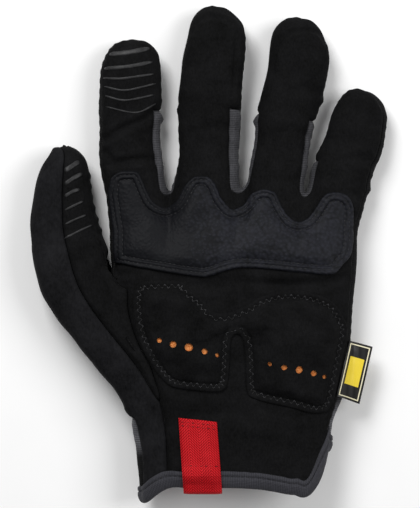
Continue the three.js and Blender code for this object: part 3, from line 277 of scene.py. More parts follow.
def palm_line(side, row, end):
    """A place on an edge or seam of the palm, drawn over to where that edge ends at the knuckles."""
    def place(at):
        share = read_table(PALM_LINES, side, at)
        x = {LEFT: -mix(half_wrist, half_palm, share), SEAM: -share * half_palm,
             RIGHT: mix(half_wrist, half_palm, share)}[side]
        return np.array([x, read_table(PALM_LINES, side + 1, at) * palm_length, 0])
    at_end = np.array([end[0], end[1], 0])
    return place(row) + (at_end - place(1)) * row**3


def round_over(t):
    return math.sqrt(1 - (1 - min(1, max(0, t))) ** 2)


def palm_point(edge, row, column):
    ends = [points[i] for i in knuckles[edge]]
    left = palm_line(LEFT, row, ends[0])
    seam = palm_line(SEAM, row, ends[thumb_strip])
    right = palm_line(RIGHT, row, ends[last_column])
    cuff = CUFF_FRONT if edge == "face" else CUFF_BACK
    inner = column >= thumb_strip
    a, b = (seam, right) if inner else (left, seam)
    first, last = (thumb_strip, last_column) if inner else (0, thumb_strip)
    share = (ends[column][0] - ends[first][0]) / (ends[last][0] - ends[first][0])
    p = mix(a, b, share)
    p[1] += (ends[column][1] - mix(ends[first][1], ends[last][1], share)) * row**4
    seam_cuff = palm_line(SEAM, 0, ends[thumb_strip])[1]
    near_cuff = min(1, (1 - row) / (1 - PALM_ROWS[1])) ** 4
    if inner:
        right_cuff = palm_line(RIGHT, 0, ends[last_column])[1]
        p[1] += (read_table(cuff, 1, share) * palm_length - mix(seam_cuff, right_cuff, share)) * near_cuff
    else:
        p[1] += (cuff[0][1] * palm_length - seam_cuff) * share * near_cuff
    face = mix(knuckle_height, palm_height, read_table(PALM_HEIGHTS, 1, row))
    top = mix(face, wrist_height, read_table(PALM_HEIGHTS, 2, row))
    middle = top * read_table(PALM_HEIGHTS, 3, row)
    open_side = read_table(PALM_HEIGHTS, 4, row) * half_palm
    reach = edge_round if edge == "face" else back_round
    insets = p[0] - left[0] + open_side, right[0] - p[0]
    shape = round_over(min(insets) / reach) * round_over(max(insets) / reach)
    under = binding_fold * (1 - smooth(0.05, 0.24, row))
    if edge == "face":
        z = mix(middle + side_seam_band / 2, top, shape)
    else:
        z = mix(middle - side_seam_band / 2, under, shape)
    p[2] = max(0, mix(z, ends[column][2], smooth(0.8, 1, row)))
    return p


def side_middle(upper, lower, sign):
    middle = []
    for i in range(1, side_count):
        p = mix(points[upper], points[lower], i / side_count)
        p[0] += side_seam_band * side_bulge * sign * math.sin(math.pi * i / side_count)
        middle.append(add_point(p))
    return middle


palm_rings = []
for j, row in enumerate(PALM_ROWS):
    if j == len(PALM_ROWS) - 1:
        right = roots["little"][face_count + 1:face_count + side_count]
        left = roots["index"][2 * face_count + side_count + 1:]
        palm_rings.append((knuckles["face"], right, knuckles["back"][::-1], left))
        break
    inside = thumb_first < j < thumb_last
    face, back = ([-1 if inside and c < thumb_strip else add_point(palm_point(edge, row, c))
                   for c in range(last_column + 1)] for edge in ("face", "back"))
    back = back[::-1]
    right = side_middle(face[-1], back[0], 1)
    left = [-1] * (side_count - 1) if inside else side_middle(back[-1], face[0], -1)
    palm_rings.append((face, right, back, left))
for j in range(len(PALM_ROWS) - 1):
    gap = thumb_first <= j < thumb_last
    skip = lambda zone, col: gap and (zone == "left" or (zone != "right" and col < thumb_strip))
    join_rings(sum(palm_rings[j], []), sum(palm_rings[j + 1], []), "palm", j, last_column, PALM_ROWS[j], skip)


def opening_walk(side):
    """The edge of the opening that the thumb grows from."""
    at = lambda j, c: palm_rings[j][0][c] if side == "face" else palm_rings[j][2][last_column - c]
    line = [at(thumb_first, c) for c in range(thumb_strip)]
    line += [at(j, thumb_strip) for j in range(thumb_first, thumb_last)]
    return line + [at(thumb_last, c) for c in range(thumb_strip, -1, -1)]


opening = opening_walk("face") + palm_rings[thumb_last][3][::-1] + opening_walk("back")[::-1]
opening += palm_rings[thumb_first][3]
inner_count = thumb_last - thumb_first + thumb_strip
thumb_split = [s / 2 for s in even(thumb_strip)] + [0.5 + s / 2 for s in even(inner_count)[1:]]
thumb_count = len(thumb_split) - 1
thumb_root = [digit_point("thumb", 0, angle) for angle in ring_angles("thumb", thumb_split)]
leave_foot, leave_crotch = np.array([-0.42, 0.91, 0]), np.array([-0.9, 0.44, 0])
arrive = digit_line("thumb", 0)[1]
near = opening
for g in range(1, gusset_rows + 1):
    t = g / gusset_rows
    far = []
    for i, end in enumerate(thumb_root):
        start = points[opening[i]]
        pull = np.linalg.norm(start - end) * gusset_pull
        climb = smooth(points[opening[0]][1], points[opening[inner_count + thumb_strip]][1], start[1])
        leave = unit(mix(leave_foot, leave_crotch, climb))
        far.append(add_point(hermite(start, leave * pull, end, arrive * pull, t)))
    join_rings(near, far, "thumb", g - gusset_rows, thumb_count, -1 + t)
    near = far
grow_digit("thumb", near, thumb_split)

PANELS = ["palm_panel", "back_panel", "fourchette_index_middle", "fourchette_middle_ring",
          "fourchette_ring_little", "thumb_inner_panel", "thumb_outer_panel"]
PALM, BACK, FIRST_STRIP, THUMB_FACE, THUMB_OUTSIDE = 0, 1, 2, 5, 6


def panel_of(part, zone, row, col, at):
    if part == "web":
        return FIRST_STRIP + row
    if zone == "back":
        return BACK
    if part == "thumb":
        return THUMB_OUTSIDE if zone == "left" or (zone == "face" and col < thumb_strip) else THUMB_FACE
    if part == "palm":
        if zone != "face":
            return BACK
        return THUMB_OUTSIDE if row < thumb_first and col < thumb_strip else PALM
    if zone == "face":
        return PALM
    panel = FIRST_STRIP + FINGERS.index(part) - (zone == "left")
    if not FIRST_STRIP <= panel < THUMB_FACE:
        return BACK
    return panel if at < STRIP_ENDS[part] else PALM


def link(piece):
    bpy.context.scene.collection.objects.link(piece)
    return piece


def evaluated(piece):
    """A new mesh of a piece, as its modifiers leave it."""
    bpy.context.view_layer.update()
    return bpy.data.meshes.new_from_object(piece.evaluated_get(bpy.context.evaluated_depsgraph_get()))


def coordinates(mesh):
    co = np.empty(len(mesh.vertices) * 3, np.float32)
    mesh.vertices.foreach_get("co", co)
    return co.reshape(-1, 3).astype(float)


# The skin is rounded by subdivision, and its cage is pushed out until the round skin meets the
# tables' points.
cage = bpy.data.meshes.new("hand_cage")
corners = [[ids[i] for i in range(4) if ids[i] != ids[(i + 1) % 4]] for ids, *_ in quads]
cage.from_pydata([tuple(p) for p in points], [], corners)
cage.attributes.new("panel", "INT", "FACE").data.foreach_set("value", [panel_of(*q[1:]) for q in quads])
hand = link(bpy.data.objects.new("hand_cage", cage))
rounder = hand.modifiers.new("round", "SUBSURF")
rounder.levels = rounder.render_levels = 3
target = np.array(points)
held = target.copy()
for _ in range(3):
    settled = evaluated(hand)
    held += target - coordinates(settled)[:len(points)]
    bpy.data.meshes.remove(settled)
    cage.vertices.foreach_set("co", held.astype(np.float32).ravel())
    cage.update()
fine = evaluated(hand)
bpy.data.objects.remove(hand)
skin = coordinates(fine)
skin_faces = np.empty(len(fine.loops), np.int32)
fine.loops.foreach_get("vertex_index", skin_faces)
skin_faces = skin_faces.reshape(-1, 4)
face_panel = np.empty(len(fine.polygons), np.int32)
fine.attributes["panel"].data.foreach_get("value", face_panel)


def point_normals(co, faces):
    a, b, c, d = (co[faces[:, i]] for i in range(4))
    normal = np.cross(c - a, d - b)
    out = np.zeros_like(co)
    for i in range(4):
        np.add.at(out, faces[:, i], normal)
    return unit(out)


def border_edges(faces):
    """Edges that only one of these faces has, each in that face's own direction."""
    n = faces.shape[1]
    edges = np.concatenate([np.stack([faces[:, i], faces[:, (i + 1) % n]], 1) for i in range(n)])
    keys = np.sort(edges, 1) @ np.array([1 << 32, 1])
    _, index, count = np.unique(keys, return_index=True, return_counts=True)
    return edges[index[count == 1]]


def to_lines(p, line, closed=False):
    """Distance in plan from points to a line of points, and how far along the line the nearest place is."""
    line = np.asarray(line, float)[:, :2]
    ends = np.roll(line, -1, 0) if closed else line[1:]
    starts = line if closed else line[:-1]
    best = np.full(len(p), 1e9)
    along = np.zeros(len(p))
    length = 0.0
    for a, b in zip(starts, ends):
        ab = b - a
        t = np.clip(((p[:, :2] - a) @ ab) / max(ab @ ab, 1e-12), 0, 1)
        d = np.hypot(*(p[:, :2] - a - t[:, None] * ab).T)
        nearer = d < best
        best[nearer] = d[nearer]
        along[nearer] = length + t[nearer] * np.linalg.norm(ab)
        length += np.linalg.norm(ab)
    return best, along / max(length, 1e-9)


def run(line):
    """How far along a line each of its points is."""
    return np.concatenate([[0], np.cumsum(np.linalg.norm(np.diff(line, axis=0), axis=1))])


def curve_through(places, spacing, closed=False):
    """A smooth line through places, with a point each spacing."""
    p = np.asarray(places, float)
    n = len(p)
    steps = np.linspace(0, 1, 13)[:-1, None]
    parts = []
    for i in range(n if closed else n - 1):
        a, b, c, d = (p[(i + k) % n] if closed else p[min(max(i + k, 0), n - 1)] for k in (-1, 0, 1, 2))
        parts.append(0.5 * (2 * b + (c - a) * steps + (2 * a - 5 * b + 4 * c - d) * steps**2
                            + (3 * b - 3 * c + d - a) * steps**3))
    line = np.concatenate(parts + [p[:1] if closed else p[-1:]])
    lengths = run(line)
    at = np.linspace(0, lengths[-1], max(3, round(lengths[-1] / spacing) + 1))
    line = np.stack([np.interp(at, lengths, line[:, i]) for i in range(line.shape[1])], 1)
    return line[:-1] if closed else line


def ripples(p, seed, sizes, amounts):
    """Soft unevenness of given sizes, the same on every run."""
    chance = np.random.default_rng(seed)
    total_move = np.zeros(len(p))
    for size, amount in zip(sizes, amounts):
        for _ in range(5):
            way = unit(chance.normal(size=3))
            total_move += amount / 5**0.5 * np.sin(p @ way * 2 * math.pi / size / chance.uniform(0.75, 1.3)
                                                   + chance.uniform(0, 2 * math.pi))
    return total_move


def bell(x, middle, width):
    return np.exp(-((x - middle) / width) ** 2)


def in_space(flat):
    return np.hstack([flat, np.zeros((len(flat), 1))])


def kd_tree(places):
    tree = KDTree(len(places))
    for i, p in enumerate(places):
        tree.insert(p, i)
    tree.balance()
    return tree


# Cloth gathers at the seams, creases over the joints and slumps between them.
skin_normals = point_normals(skin, skin_faces)
seams = [border_edges(skin_faces[face_panel == k]) for k in range(len(PANELS))]
seam_tree = kd_tree(np.concatenate([mix(skin[edges[:, 0]], skin[edges[:, 1]], share)
                                    for edges in seams for share in (0, 0.5)]))
seam_distance = np.array([seam_tree.find(p)[2] for p in skin])
# Lines in plan, with depth and width of each crease.
CREASES = [
    ([(-65.4, 173.2), (-53.9, 179.8), (-43.9, 184.2), (-38.1, 190.8)], 1.8, 1.7),
    ([(-60.9, 161.2), (-48.4, 163.5), (-38.9, 163.2)], 1.6, 1.7),
    ([(-65.4, 168.8), (-60.4, 163.8)], 0.7, 1.8),
    ([(-20, 152), (-10, 155.5), (3, 154)], 0.5, 2.4),
    ([(-22, 177), (-8, 180), (7, 177)], 0.7, 2.4),
    ([(-19, 199), (-7, 201), (5, 198)], 0.5, 2.2),
    ([(14, 152), (24, 154), (34, 150)], 0.5, 2.4),
    ([(20, 176), (30, 178), (41, 173)], 0.7, 2.4),
    ([(26, 198), (36, 199), (47, 195)], 0.5, 2.2),
    ([(47, 146), (56, 148), (66, 142)], 0.6, 2.2),
    ([(54, 163), (64, 164), (75, 158)], 0.7, 2.2),
    ([(-70, 105), (-62, 112), (-52, 113)], 0.6, 2.6),
    ([(-82, 130), (-72, 126), (-62, 128)], 0.6, 2.6),
    ([(-60.6, 104.2), (-53.6, 107.2)], 1.1, 1.6),
    ([(-57.9, 102.8), (-51.4, 100.8)], 0.9, 1.6),
    ([(-47.9, 44.2), (-40.9, 44.8)], 0.7, 1.4),
    ([(4, 102.6), (25.6, 101.4), (42.6, 102.4), (54, 105)], 1.7, 2.2),
    ([(-38, 106), (-20, 101), (-2, 103)], 0.8, 2.6),
    ([(-30, 50), (-12, 47), (8, 49)], 0.6, 2.6),
    ([(12, 40), (30, 36), (44, 40)], 0.6, 2.4),
    ([(-25, 36), (0, 38), (28, 30), (40, 27)], 0.5, 3.0),
    ([(-20.7, 227.2), (-17.4, 232.9), (-11.5, 235.4), (-5.9, 234.2), (-0.9, 231.2), (0.9, 226.2), (0.6, 213.8),
      (-0.4, 195.8)], 0.8, 1.0),
    ([(19.6, 206.4), (20.8, 216.4), (22.9, 221.3), (26.1, 225.9), (32.8, 228.0), (38.6, 228.0), (42.6, 226.8),
      (45.1, 222.2)], 0.8, 1.0),
]
move = np.zeros(len(skin))
upward = smooth(-0.1, 0.35, skin_normals[:, 2])
for places, depth, width in CREASES:
    distance, along = to_lines(skin, curve_through(places, 1.5))
    fade = np.sin(math.pi * np.clip(0.12 + 0.76 * along, 0, 1)) ** 0.7
    shoulder = 0.35 * bell(distance, 2 * width, 0.9 * width)
    move += upward * fade * depth * (shoulder - bell(distance, 0, width))
seam_step, seam_reach, seam_groove, seam_half = 0.5, 3.2, 0.6, 1.15
stitch_pull, stitch_off, stitch_half, stitch_pitch = 0.16, 2.4, 1.2, 5.2
move += ripples(skin, 5, (46, 24, 13), (0.4, 0.3, 0.13)) * smooth(0.5, 5, seam_distance)
move += seam_step * smooth(0.3, seam_reach, seam_distance) - seam_groove * bell(seam_distance, 0, seam_half)
# Stitches pull the cloth in at each hole, so a seam is faintly scalloped.
scallops = np.sin((skin[:, 0] + skin[:, 1]) * 2 * math.pi / stitch_pitch)
move += stitch_pull * bell(seam_distance, stitch_off, stitch_half) * scallops
# Where a strip's seam ends on the side of a finger, its folded edges stand out in a small knot,
# and the thumb's inner side gathers beside each printed bar. Place, height and radius of each.
KNOTS = [(-36.4, 184.3, 1.3, 1.9), (-28.1, 188.3, 1.3, 1.9), (10.6, 183.3, 1.3, 1.9), (43.4, 193.8, 1.3, 1.9),
         (38.1, 156.8, 1.3, 1.9), (67.1, 149.3, 1.3, 1.9), (-52.4, 39.8, 1.3, 1.9), (-72.4, 155.6, 0.8, 1.5),
         (-71.1, 150.6, 0.8, 1.5), (-70.2, 145.4, 0.8, 1.5), (-69.4, 140, 0.8, 1.5), (-68.6, 134.4, 0.8, 1.5),
         (-67.2, 128.6, 0.8, 1.5)]
for x, y, height, radius in KNOTS:
    spread = np.hypot(skin[:, 0] - x, skin[:, 1] - y)
    move += height * bell(spread, 0, radius) * (1 - np.abs(skin_normals[:, 2]))
# The side that lies on the table keeps its place.
resting = smooth(2.5, 0.0, skin[:, 2]) * (skin_normals[:, 2] < -0.2)
skin += skin_normals * (move * (1 - 0.85 * resting))[:, None]
# The cloth bridges the hollows between the finger roots: middle, half width and first row of each.
BRIDGES = [(-32.5, 9.5, 112), (2, 6, 128), (36.5, 7.5, 122)]
bridge_passes, bridge_pull = 160, 0.7
skin_edges = np.concatenate([skin_faces[:, [i, (i + 1) % 4]] for i in range(4)])
skin_edges = np.unique(np.sort(skin_edges, 1), axis=0)
bridge = np.zeros(len(skin))
for x, wide, first in BRIDGES:
    reach = smooth(wide, wide * 0.4, np.abs(skin[:, 0] - x)) * smooth(first, first + 7, skin[:, 1])
    bridge = np.maximum(bridge, reach * smooth(160, 152, skin[:, 1]) * smooth(5, 8, skin[:, 2]))
neighbours = np.bincount(skin_edges.ravel(), minlength=len(skin))
for _ in range(bridge_passes):
    gathered = np.zeros_like(skin)
    np.add.at(gathered, skin_edges[:, 0], skin[skin_edges[:, 1]])
    np.add.at(gathered, skin_edges[:, 1], skin[skin_edges[:, 0]])
    skin += (gathered / neighbours[:, None] - skin) * bridge_pull * bridge[:, None]
skin[:, 2] = np.maximum(skin[:, 2], 0.05)
skin_normals = point_normals(skin, skin_faces)

# A panel is drawn in and sunk at its seams, stays clear of the table, and its lining is thinned.
seam_inset, seam_sink, above_table, lining_share = 0.14, 0.3, 0.03, 0.66


def place_mesh(name, co, faces, material):
    """A mesh object from millimetres off the cuff's middle, standing in the frame in metres."""
    mesh = bpy.data.meshes.new(name)
    mesh.from_pydata(((np.asarray(co) + cuff_middle) * mm).tolist(), [], [list(f) for f in faces])
    mesh.polygons.foreach_set("use_smooth", [True] * len(mesh.polygons))
    mesh.materials.append(material)
    return link(bpy.data.objects.new(name, mesh))


def finish(piece, node):
    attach(piece, "root")
    if node:
        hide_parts(node)
    return piece


def panel_mesh(name, node, wall, material):
    """One cut panel: its stretch of the skin, drawn in at the seams, with its thickness inwards."""
    faces = skin_faces[face_panel == PANELS.index(node)]
    used, index = np.unique(faces, return_inverse=True)
    faces = index.reshape(-1, 4)
    co, normal = skin[used].copy(), skin_normals[used]
    edges = border_edges(faces)
    inward = np.zeros_like(co)
    for k in (0, 1):
        np.add.at(inward, edges[:, k], unit(np.cross(normal[edges[:, k]], co[edges[:, 1]] - co[edges[:, 0]])))
    rim = np.linalg.norm(inward, axis=1) > 0
    co[rim] += unit(inward[rim]) * seam_inset - normal[rim] * seam_sink
    count = len(co)
    walls = np.stack([edges[:, 1], edges[:, 0], edges[:, 0] + count, edges[:, 1] + count], 1)
    faces = np.concatenate([faces, faces[:, ::-1] + count, walls])
    layers = np.concatenate([co, co - normal * wall])
    layers[:, 2] = np.maximum(layers[:, 2], above_table)
    piece = place_mesh(name, layers, faces.tolist(), material)
    # The inside of the cloth is never seen close, so only its mesh is thinned.
    piece.vertex_groups.new(name="lining").add(range(count, 2 * count), 1.0, "REPLACE")
    thin = piece.modifiers.new("thin_lining", "DECIMATE")
    thin.ratio, thin.vertex_group = lining_share, "lining"
    thinned = evaluated(piece)
    piece.modifiers.remove(thin)
    piece.data = thinned
    piece.vertex_groups.clear()
    return finish(piece, node)


def linear(colour):
    """A colour from its sRGB hex, as the shader takes it."""
    out = []
    for i in (0, 2, 4):
        v = int(colour[i:i + 2], 16) / 255
        out.append(v / 12.92 if v <= 0.04045 else ((v + 0.055) / 1.055) ** 2.4)
    return (*out, 1.0)


def add(tree, kind, inputs=(), out=0, stops=(), **settings):
    """One node, with its settings and colour stops. An input takes a value or the socket that feeds it."""
    node = tree.nodes.new(kind if "Node" in kind else "ShaderNode" + kind)
    for key, value in settings.items():
        setattr(node, key, value)
    for i, (at, colour) in enumerate(stops):
        element = node.color_ramp.elements[i] if i < 2 else node.color_ramp.elements.new(at)
        element.position, element.color = at, linear(colour)
    for socket, source in inputs.items() if isinstance(inputs, dict) else enumerate(inputs):
        if isinstance(source, bpy.types.NodeSocket):
            tree.links.new(source, node.inputs[socket])
        else:
            node.inputs[socket].default_value = source
    return node.outputs[out]


def total(tree, base, *parts):
    """A base level plus patterns, each times its share."""
    for pattern, share in parts:
        base = add(tree, "Math", [pattern, share, base], operation="MULTIPLY_ADD")
    return base


def new_material(name, **values):
    """A material, its tree, its shader set to the given values, and each point's place in metres."""
    material = bpy.data.materials.new(name)
    material.use_nodes = True
    tree = material.node_tree
    shader = tree.nodes["Principled BSDF"]
    for key, value in values.items():
        shader.inputs[key.replace("_", " ")].default_value = value
    return material, tree, shader, add(tree, "TexCoord", out="Object")


def dress(shader, tone, stops, *reliefs):
    """Colours a shader by a tone along colour stops, and lays reliefs of real depth over each other."""
    tree = shader.id_data
    colour = add(tree, "ValToRGB", [tone], stops=stops)
    tree.links.new(colour, shader.inputs["Base Color"])
    for height, depth_mm in reliefs:
        before = shader.inputs["Normal"].links
        inputs = {"Height": height, "Distance": depth_mm * mm}
        if before:
            inputs["Normal"] = before[0].from_socket
        tree.links.new(add(tree, "Bump", inputs), shader.inputs["Normal"])
    return colour


def suede(name, dark, pale, nap_mm=0.9):
    """Brushed microfibre suede: matt, with a short nap that lies in soft paler and darker patches."""
    material, tree, shader, place = new_material(
        name, Roughness=0.86, Specular_IOR_Level=0.04, Sheen_Weight=0.015, Sheen_Roughness=0.35)
    patches = add(tree, "TexNoise", {"Vector": place, "Scale": per_mm / 14, "Detail": 3, "Roughness": 0.6})
    brushed = add(tree, "Mapping", {"Vector": place, "Scale": (1, 0.55, 1)})
    nap = add(tree, "TexNoise", {"Vector": brushed, "Scale": per_mm / nap_mm, "Detail": 3, "Roughness": 0.7})
    across = add(tree, "Mapping", {"Vector": place, "Scale": (0.35, 1, 1)})
    wrinkles = add(tree, "TexNoise", {"Vector": across, "Scale": per_mm / 5, "Detail": 3, "Roughness": 0.6})
    tone = total(tree, 0, (patches, 0.5), (nap, 0.5))
    dress(shader, tone, [(0.32, dark), (0.68, pale)], (wrinkles, 0.5), (nap, 0.2))
    return material


# The palm. One panel of synthetic suede covers the palm and runs up the face of each finger, sewn
# to the back and to the finger strips with its edges turned in.
suede_wall, back_wall, strip_wall = 1.2, 1.4, 1.0
palm_suede = suede("microfibre_suede", "080808", "171718")
panel_mesh("suede_palm", "palm_panel", suede_wall, palm_suede)

# The thumb. Its face is a panel of the same suede, and a second one wraps its outside and runs
# down to the cuff; they meet in a seam along the thumb's middle.
# The thumb's outside gets a paler suede than the palm: its paler tone is painted light, where the outside
# catches the light.
lit_thumb_suede = suede("lit_thumb_suede", "0C0C0D", "1F1F21", 1.2)
panel_mesh("thumb_face", "thumb_inner_panel", suede_wall, palm_suede)
panel_mesh("thumb_outside", "thumb_outer_panel", suede_wall, lit_thumb_suede)

# The back of the hand and the strips between the fingers.
# Both are knitted: a black stretch fabric over the back, and grey ribbed strips set into the sides
# of the fingers.
wave_mm = 100 * math.pi  # the scale of a wave texture with bands a millimetre apart


def knit(name, dark, pale, rib_mm, sheen):
    """Warp-knitted polyester: fine ribs of loops, a little shiny along each rib."""
    material, tree, shader, place = new_material(
        name, Roughness=0.7, Specular_IOR_Level=0.08, Sheen_Weight=sheen, Sheen_Roughness=0.4)
    loops = add(tree, "TexVoronoi", {"Vector": place, "Scale": per_mm / (rib_mm * 0.9), "Randomness": 0.35})
    courses = add(tree, "TexWave", {"Vector": place, "Scale": wave_mm / rib_mm, "Distortion": 0.3,
                                    "Detail Scale": 1.5}, "Fac", bands_direction="Y")
    uneven = add(tree, "TexNoise", {"Vector": place, "Scale": per_mm / 3, "Detail": 3})
    height = total(tree, 0.45, (courses, 0.5), (loops, -0.6))
    tone = total(tree, 0, (height, 0.8), (uneven, 0.2))
    black = dress(shader, tone, [(0.15, dark), (0.85, pale)], (height, 0.16))
    return material, tree, shader, place, tone, black


back_knit, tree, shader, place, tone, black = knit("stretch_knit", "090909", "19191A", 1.1, 0.02)
# At both sides of the wrist the back is a paler, looser knit.
hand_middle, plain_half, wrist_row = 0.0125, 0.0395, -0.086
x, y = (add(tree, "SeparateXYZ", [place], axis) for axis in "XY")
plain = add(tree, "Math", [x, hand_middle, plain_half], operation="COMPARE")
off_wrist = add(tree, "Math", [total(tree, -wrist_row, (y, 1))], operation="ABSOLUTE")
at_wrist = add(tree, "MapRange", {"Value": off_wrist, "From Min": 0.008, "From Max": 0.015,
                                  "To Min": 1.0, "To Max": 0.0})
at_sides = add(tree, "Math", [total(tree, 1, (plain, -1)), at_wrist], operation="MULTIPLY")
grey = add(tree, "ValToRGB", [tone], stops=[(0.15, "3C3C3F"), (0.85, "6C6C71")])
both = add(tree, "Mix", {0: at_sides, 6: black, 7: grey}, 2, data_type="RGBA")
tree.links.new(both, shader.inputs["Base Color"])
panel_mesh("knit_back", "back_panel", back_wall, back_knit)
strip_knit = knit("finger_strip_knit", "262628", "4E4E52", 0.9, 0.05)[0]
for name in PANELS[FIRST_STRIP:THUMB_FACE]:
    panel_mesh(name.replace("fourchette", "strip"), name, strip_wall, strip_knit)

# The knuckle patch.
# A pebbled leather-like patch sewn flat across the knuckles, one scallop up each finger. Its edge is
# turned over a cord, which leaves two low ridges with a row of stitches in the groove behind each.
skin_triangles = np.concatenate([skin_faces[:, [0, 1, 2]], skin_faces[:, [0, 2, 3]]])
skin_tree = BVHTree.FromPolygons(skin.tolist(), skin_triangles.tolist())
above_skin, skin_middle = 80, 13


def skin_at(places, drop=True):
    """The skin's points and smooth normals straight under places in plan, or else nearest to them in space."""
    hits, which = np.empty((len(places), 3)), np.empty(len(places), int)
    for i, p in enumerate(places):
        hit = None
        if drop:
            hit, _, index, _ = skin_tree.ray_cast(Vector((p[0], p[1], above_skin)), Vector((0, 0, -1)))
        if hit is None:
            hit, _, index, _ = skin_tree.find_nearest(Vector((p[0], p[1], skin_middle) if drop else p))
        hits[i], which[i] = hit, index
    a, b, c = (skin[skin_triangles[which, k]] for k in range(3))
    ab, ac, ap = b - a, c - a, hits - a
    d00, d01, d11 = (ab * ab).sum(1), (ab * ac).sum(1), (ac * ac).sum(1)
    d20, d21 = (ap * ab).sum(1), (ap * ac).sum(1)
    area = np.maximum(d00 * d11 - d01 * d01, 1e-12)
    v, w = (d11 * d20 - d01 * d21) / area, (d00 * d21 - d01 * d20) / area
    na, nb, nc = (skin_normals[skin_triangles[which, k]] for k in range(3))
    return hits, unit(na * (1 - v - w)[:, None] + nb * v[:, None] + nc * w[:, None])


def leftward(along):
    return np.stack([-along[:, 1], along[:, 0]], 1)


def inward(outline):
    """Directions in plan that point into an outline drawn anticlockwise."""
    return leftward(unit(np.roll(outline, -1, 0) - np.roll(outline, 1, 0)))


def inside_of(p, outline):
    inside = np.zeros(len(p), bool)
    for (ax, ay), (bx, by) in zip(outline, np.roll(outline, -1, 0)):
        crosses = (ay > p[:, 1]) != (by > p[:, 1])
        inside ^= crosses & (p[:, 0] < ax + (p[:, 1] - ay) / ((by - ay) or 1) * (bx - ax))
    return inside


def inset_line(outline, inset):
    """The line that runs a set distance inside an outline; corners that would fold are left out."""
    row = outline + inward(outline) * inset
    return row[inside_of(row, outline) & (to_lines(row, outline, True)[0] > inset * 0.94)]


def fill_outline(outline, insets, spacing, holes=()):
    """Triangles in plan that fill an outline, with rows of points along its edge."""
    edge_rows = [outline] + [inset_line(outline, inset) for inset in insets]
    low, high = outline.min(0), outline.max(0)
    grid = np.array([(x + (k % 2) * spacing / 2, y)
                     for k, y in enumerate(np.arange(low[1], high[1], spacing * 0.866))
                     for x in np.arange(low[0], high[0], spacing)])
    grid = grid[inside_of(grid, outline)]
    grid = grid[to_lines(grid, outline, True)[0] > insets[-1] + spacing * 0.7]
    loops, rings = [outline], []
    for x, y, wide in holes:
        turn = np.linspace(0, 2 * math.pi, 25)[:-1, None]
        around = np.hstack([np.cos(turn), np.sin(turn)])
        grid = grid[np.hypot(*(grid - (x, y)).T) > wide / 2 + 0.75]
        loops.append((x, y) + around * wide / 2)
        rings += [(x, y) + around * (wide / 2 + step) for step in (0.25, 0.55)]
    flat = np.concatenate(loops + edge_rows[1:] + rings + [grid])
    fixed, start = [], 0
    for loop in loops:
        n = len(loop)
        fixed += [(start + i, start + (i + 1) % n) for i in range(n)]
        start += n
    flat, _, triangles, *_ = delaunay_2d_cdt([Vector(p) for p in flat], fixed, [], 1, 1e-4)
    flat, triangles = np.array([tuple(p) for p in flat]), np.array(triangles)
    middle = flat[triangles].mean(1)
    for x, y, wide in holes:
        kept = np.hypot(*(middle - (x, y)).T) > wide / 2 * 0.98
        triangles, middle = triangles[kept], middle[kept]
    a, b, c = (flat[triangles[:, k]] for k in range(3))
    turned = (b[:, 0] - a[:, 0]) * (c[:, 1] - a[:, 1]) - (b[:, 1] - a[:, 1]) * (c[:, 0] - a[:, 0]) < 0
    triangles[turned] = triangles[turned][:, ::-1]
    used, index = np.unique(triangles, return_inverse=True)
    return flat[used], index.reshape(-1, 3)


def drape(name, outline, insets, spacing, top, foot, material, holes=()):
    """A closed slab laid over the skin: top and foot give its heights above the skin at places in plan."""
    flat, triangles = fill_outline(outline, insets, spacing, holes)
    depth = to_lines(flat, outline, True)[0]
    at, normal = skin_at(flat)
    layers = [at + normal * np.broadcast_to(height(flat, depth), len(flat))[:, None] for height in (top, foot)]
    edges = border_edges(triangles)
    n = len(flat)
    faces = triangles.tolist() + (triangles[:, ::-1] + n).tolist()
    faces += np.stack([edges[:, 1], edges[:, 0], edges[:, 0] + n, edges[:, 1] + n], 1).tolist()
    return place_mesh(name, np.concatenate(layers), faces, material)


def dome(depth, reach):
    """A rounded rim: 0 at the edge, 1 from reach inwards."""
    return np.sqrt(1 - (1 - np.clip(depth / reach, 0, 1)) ** 2)


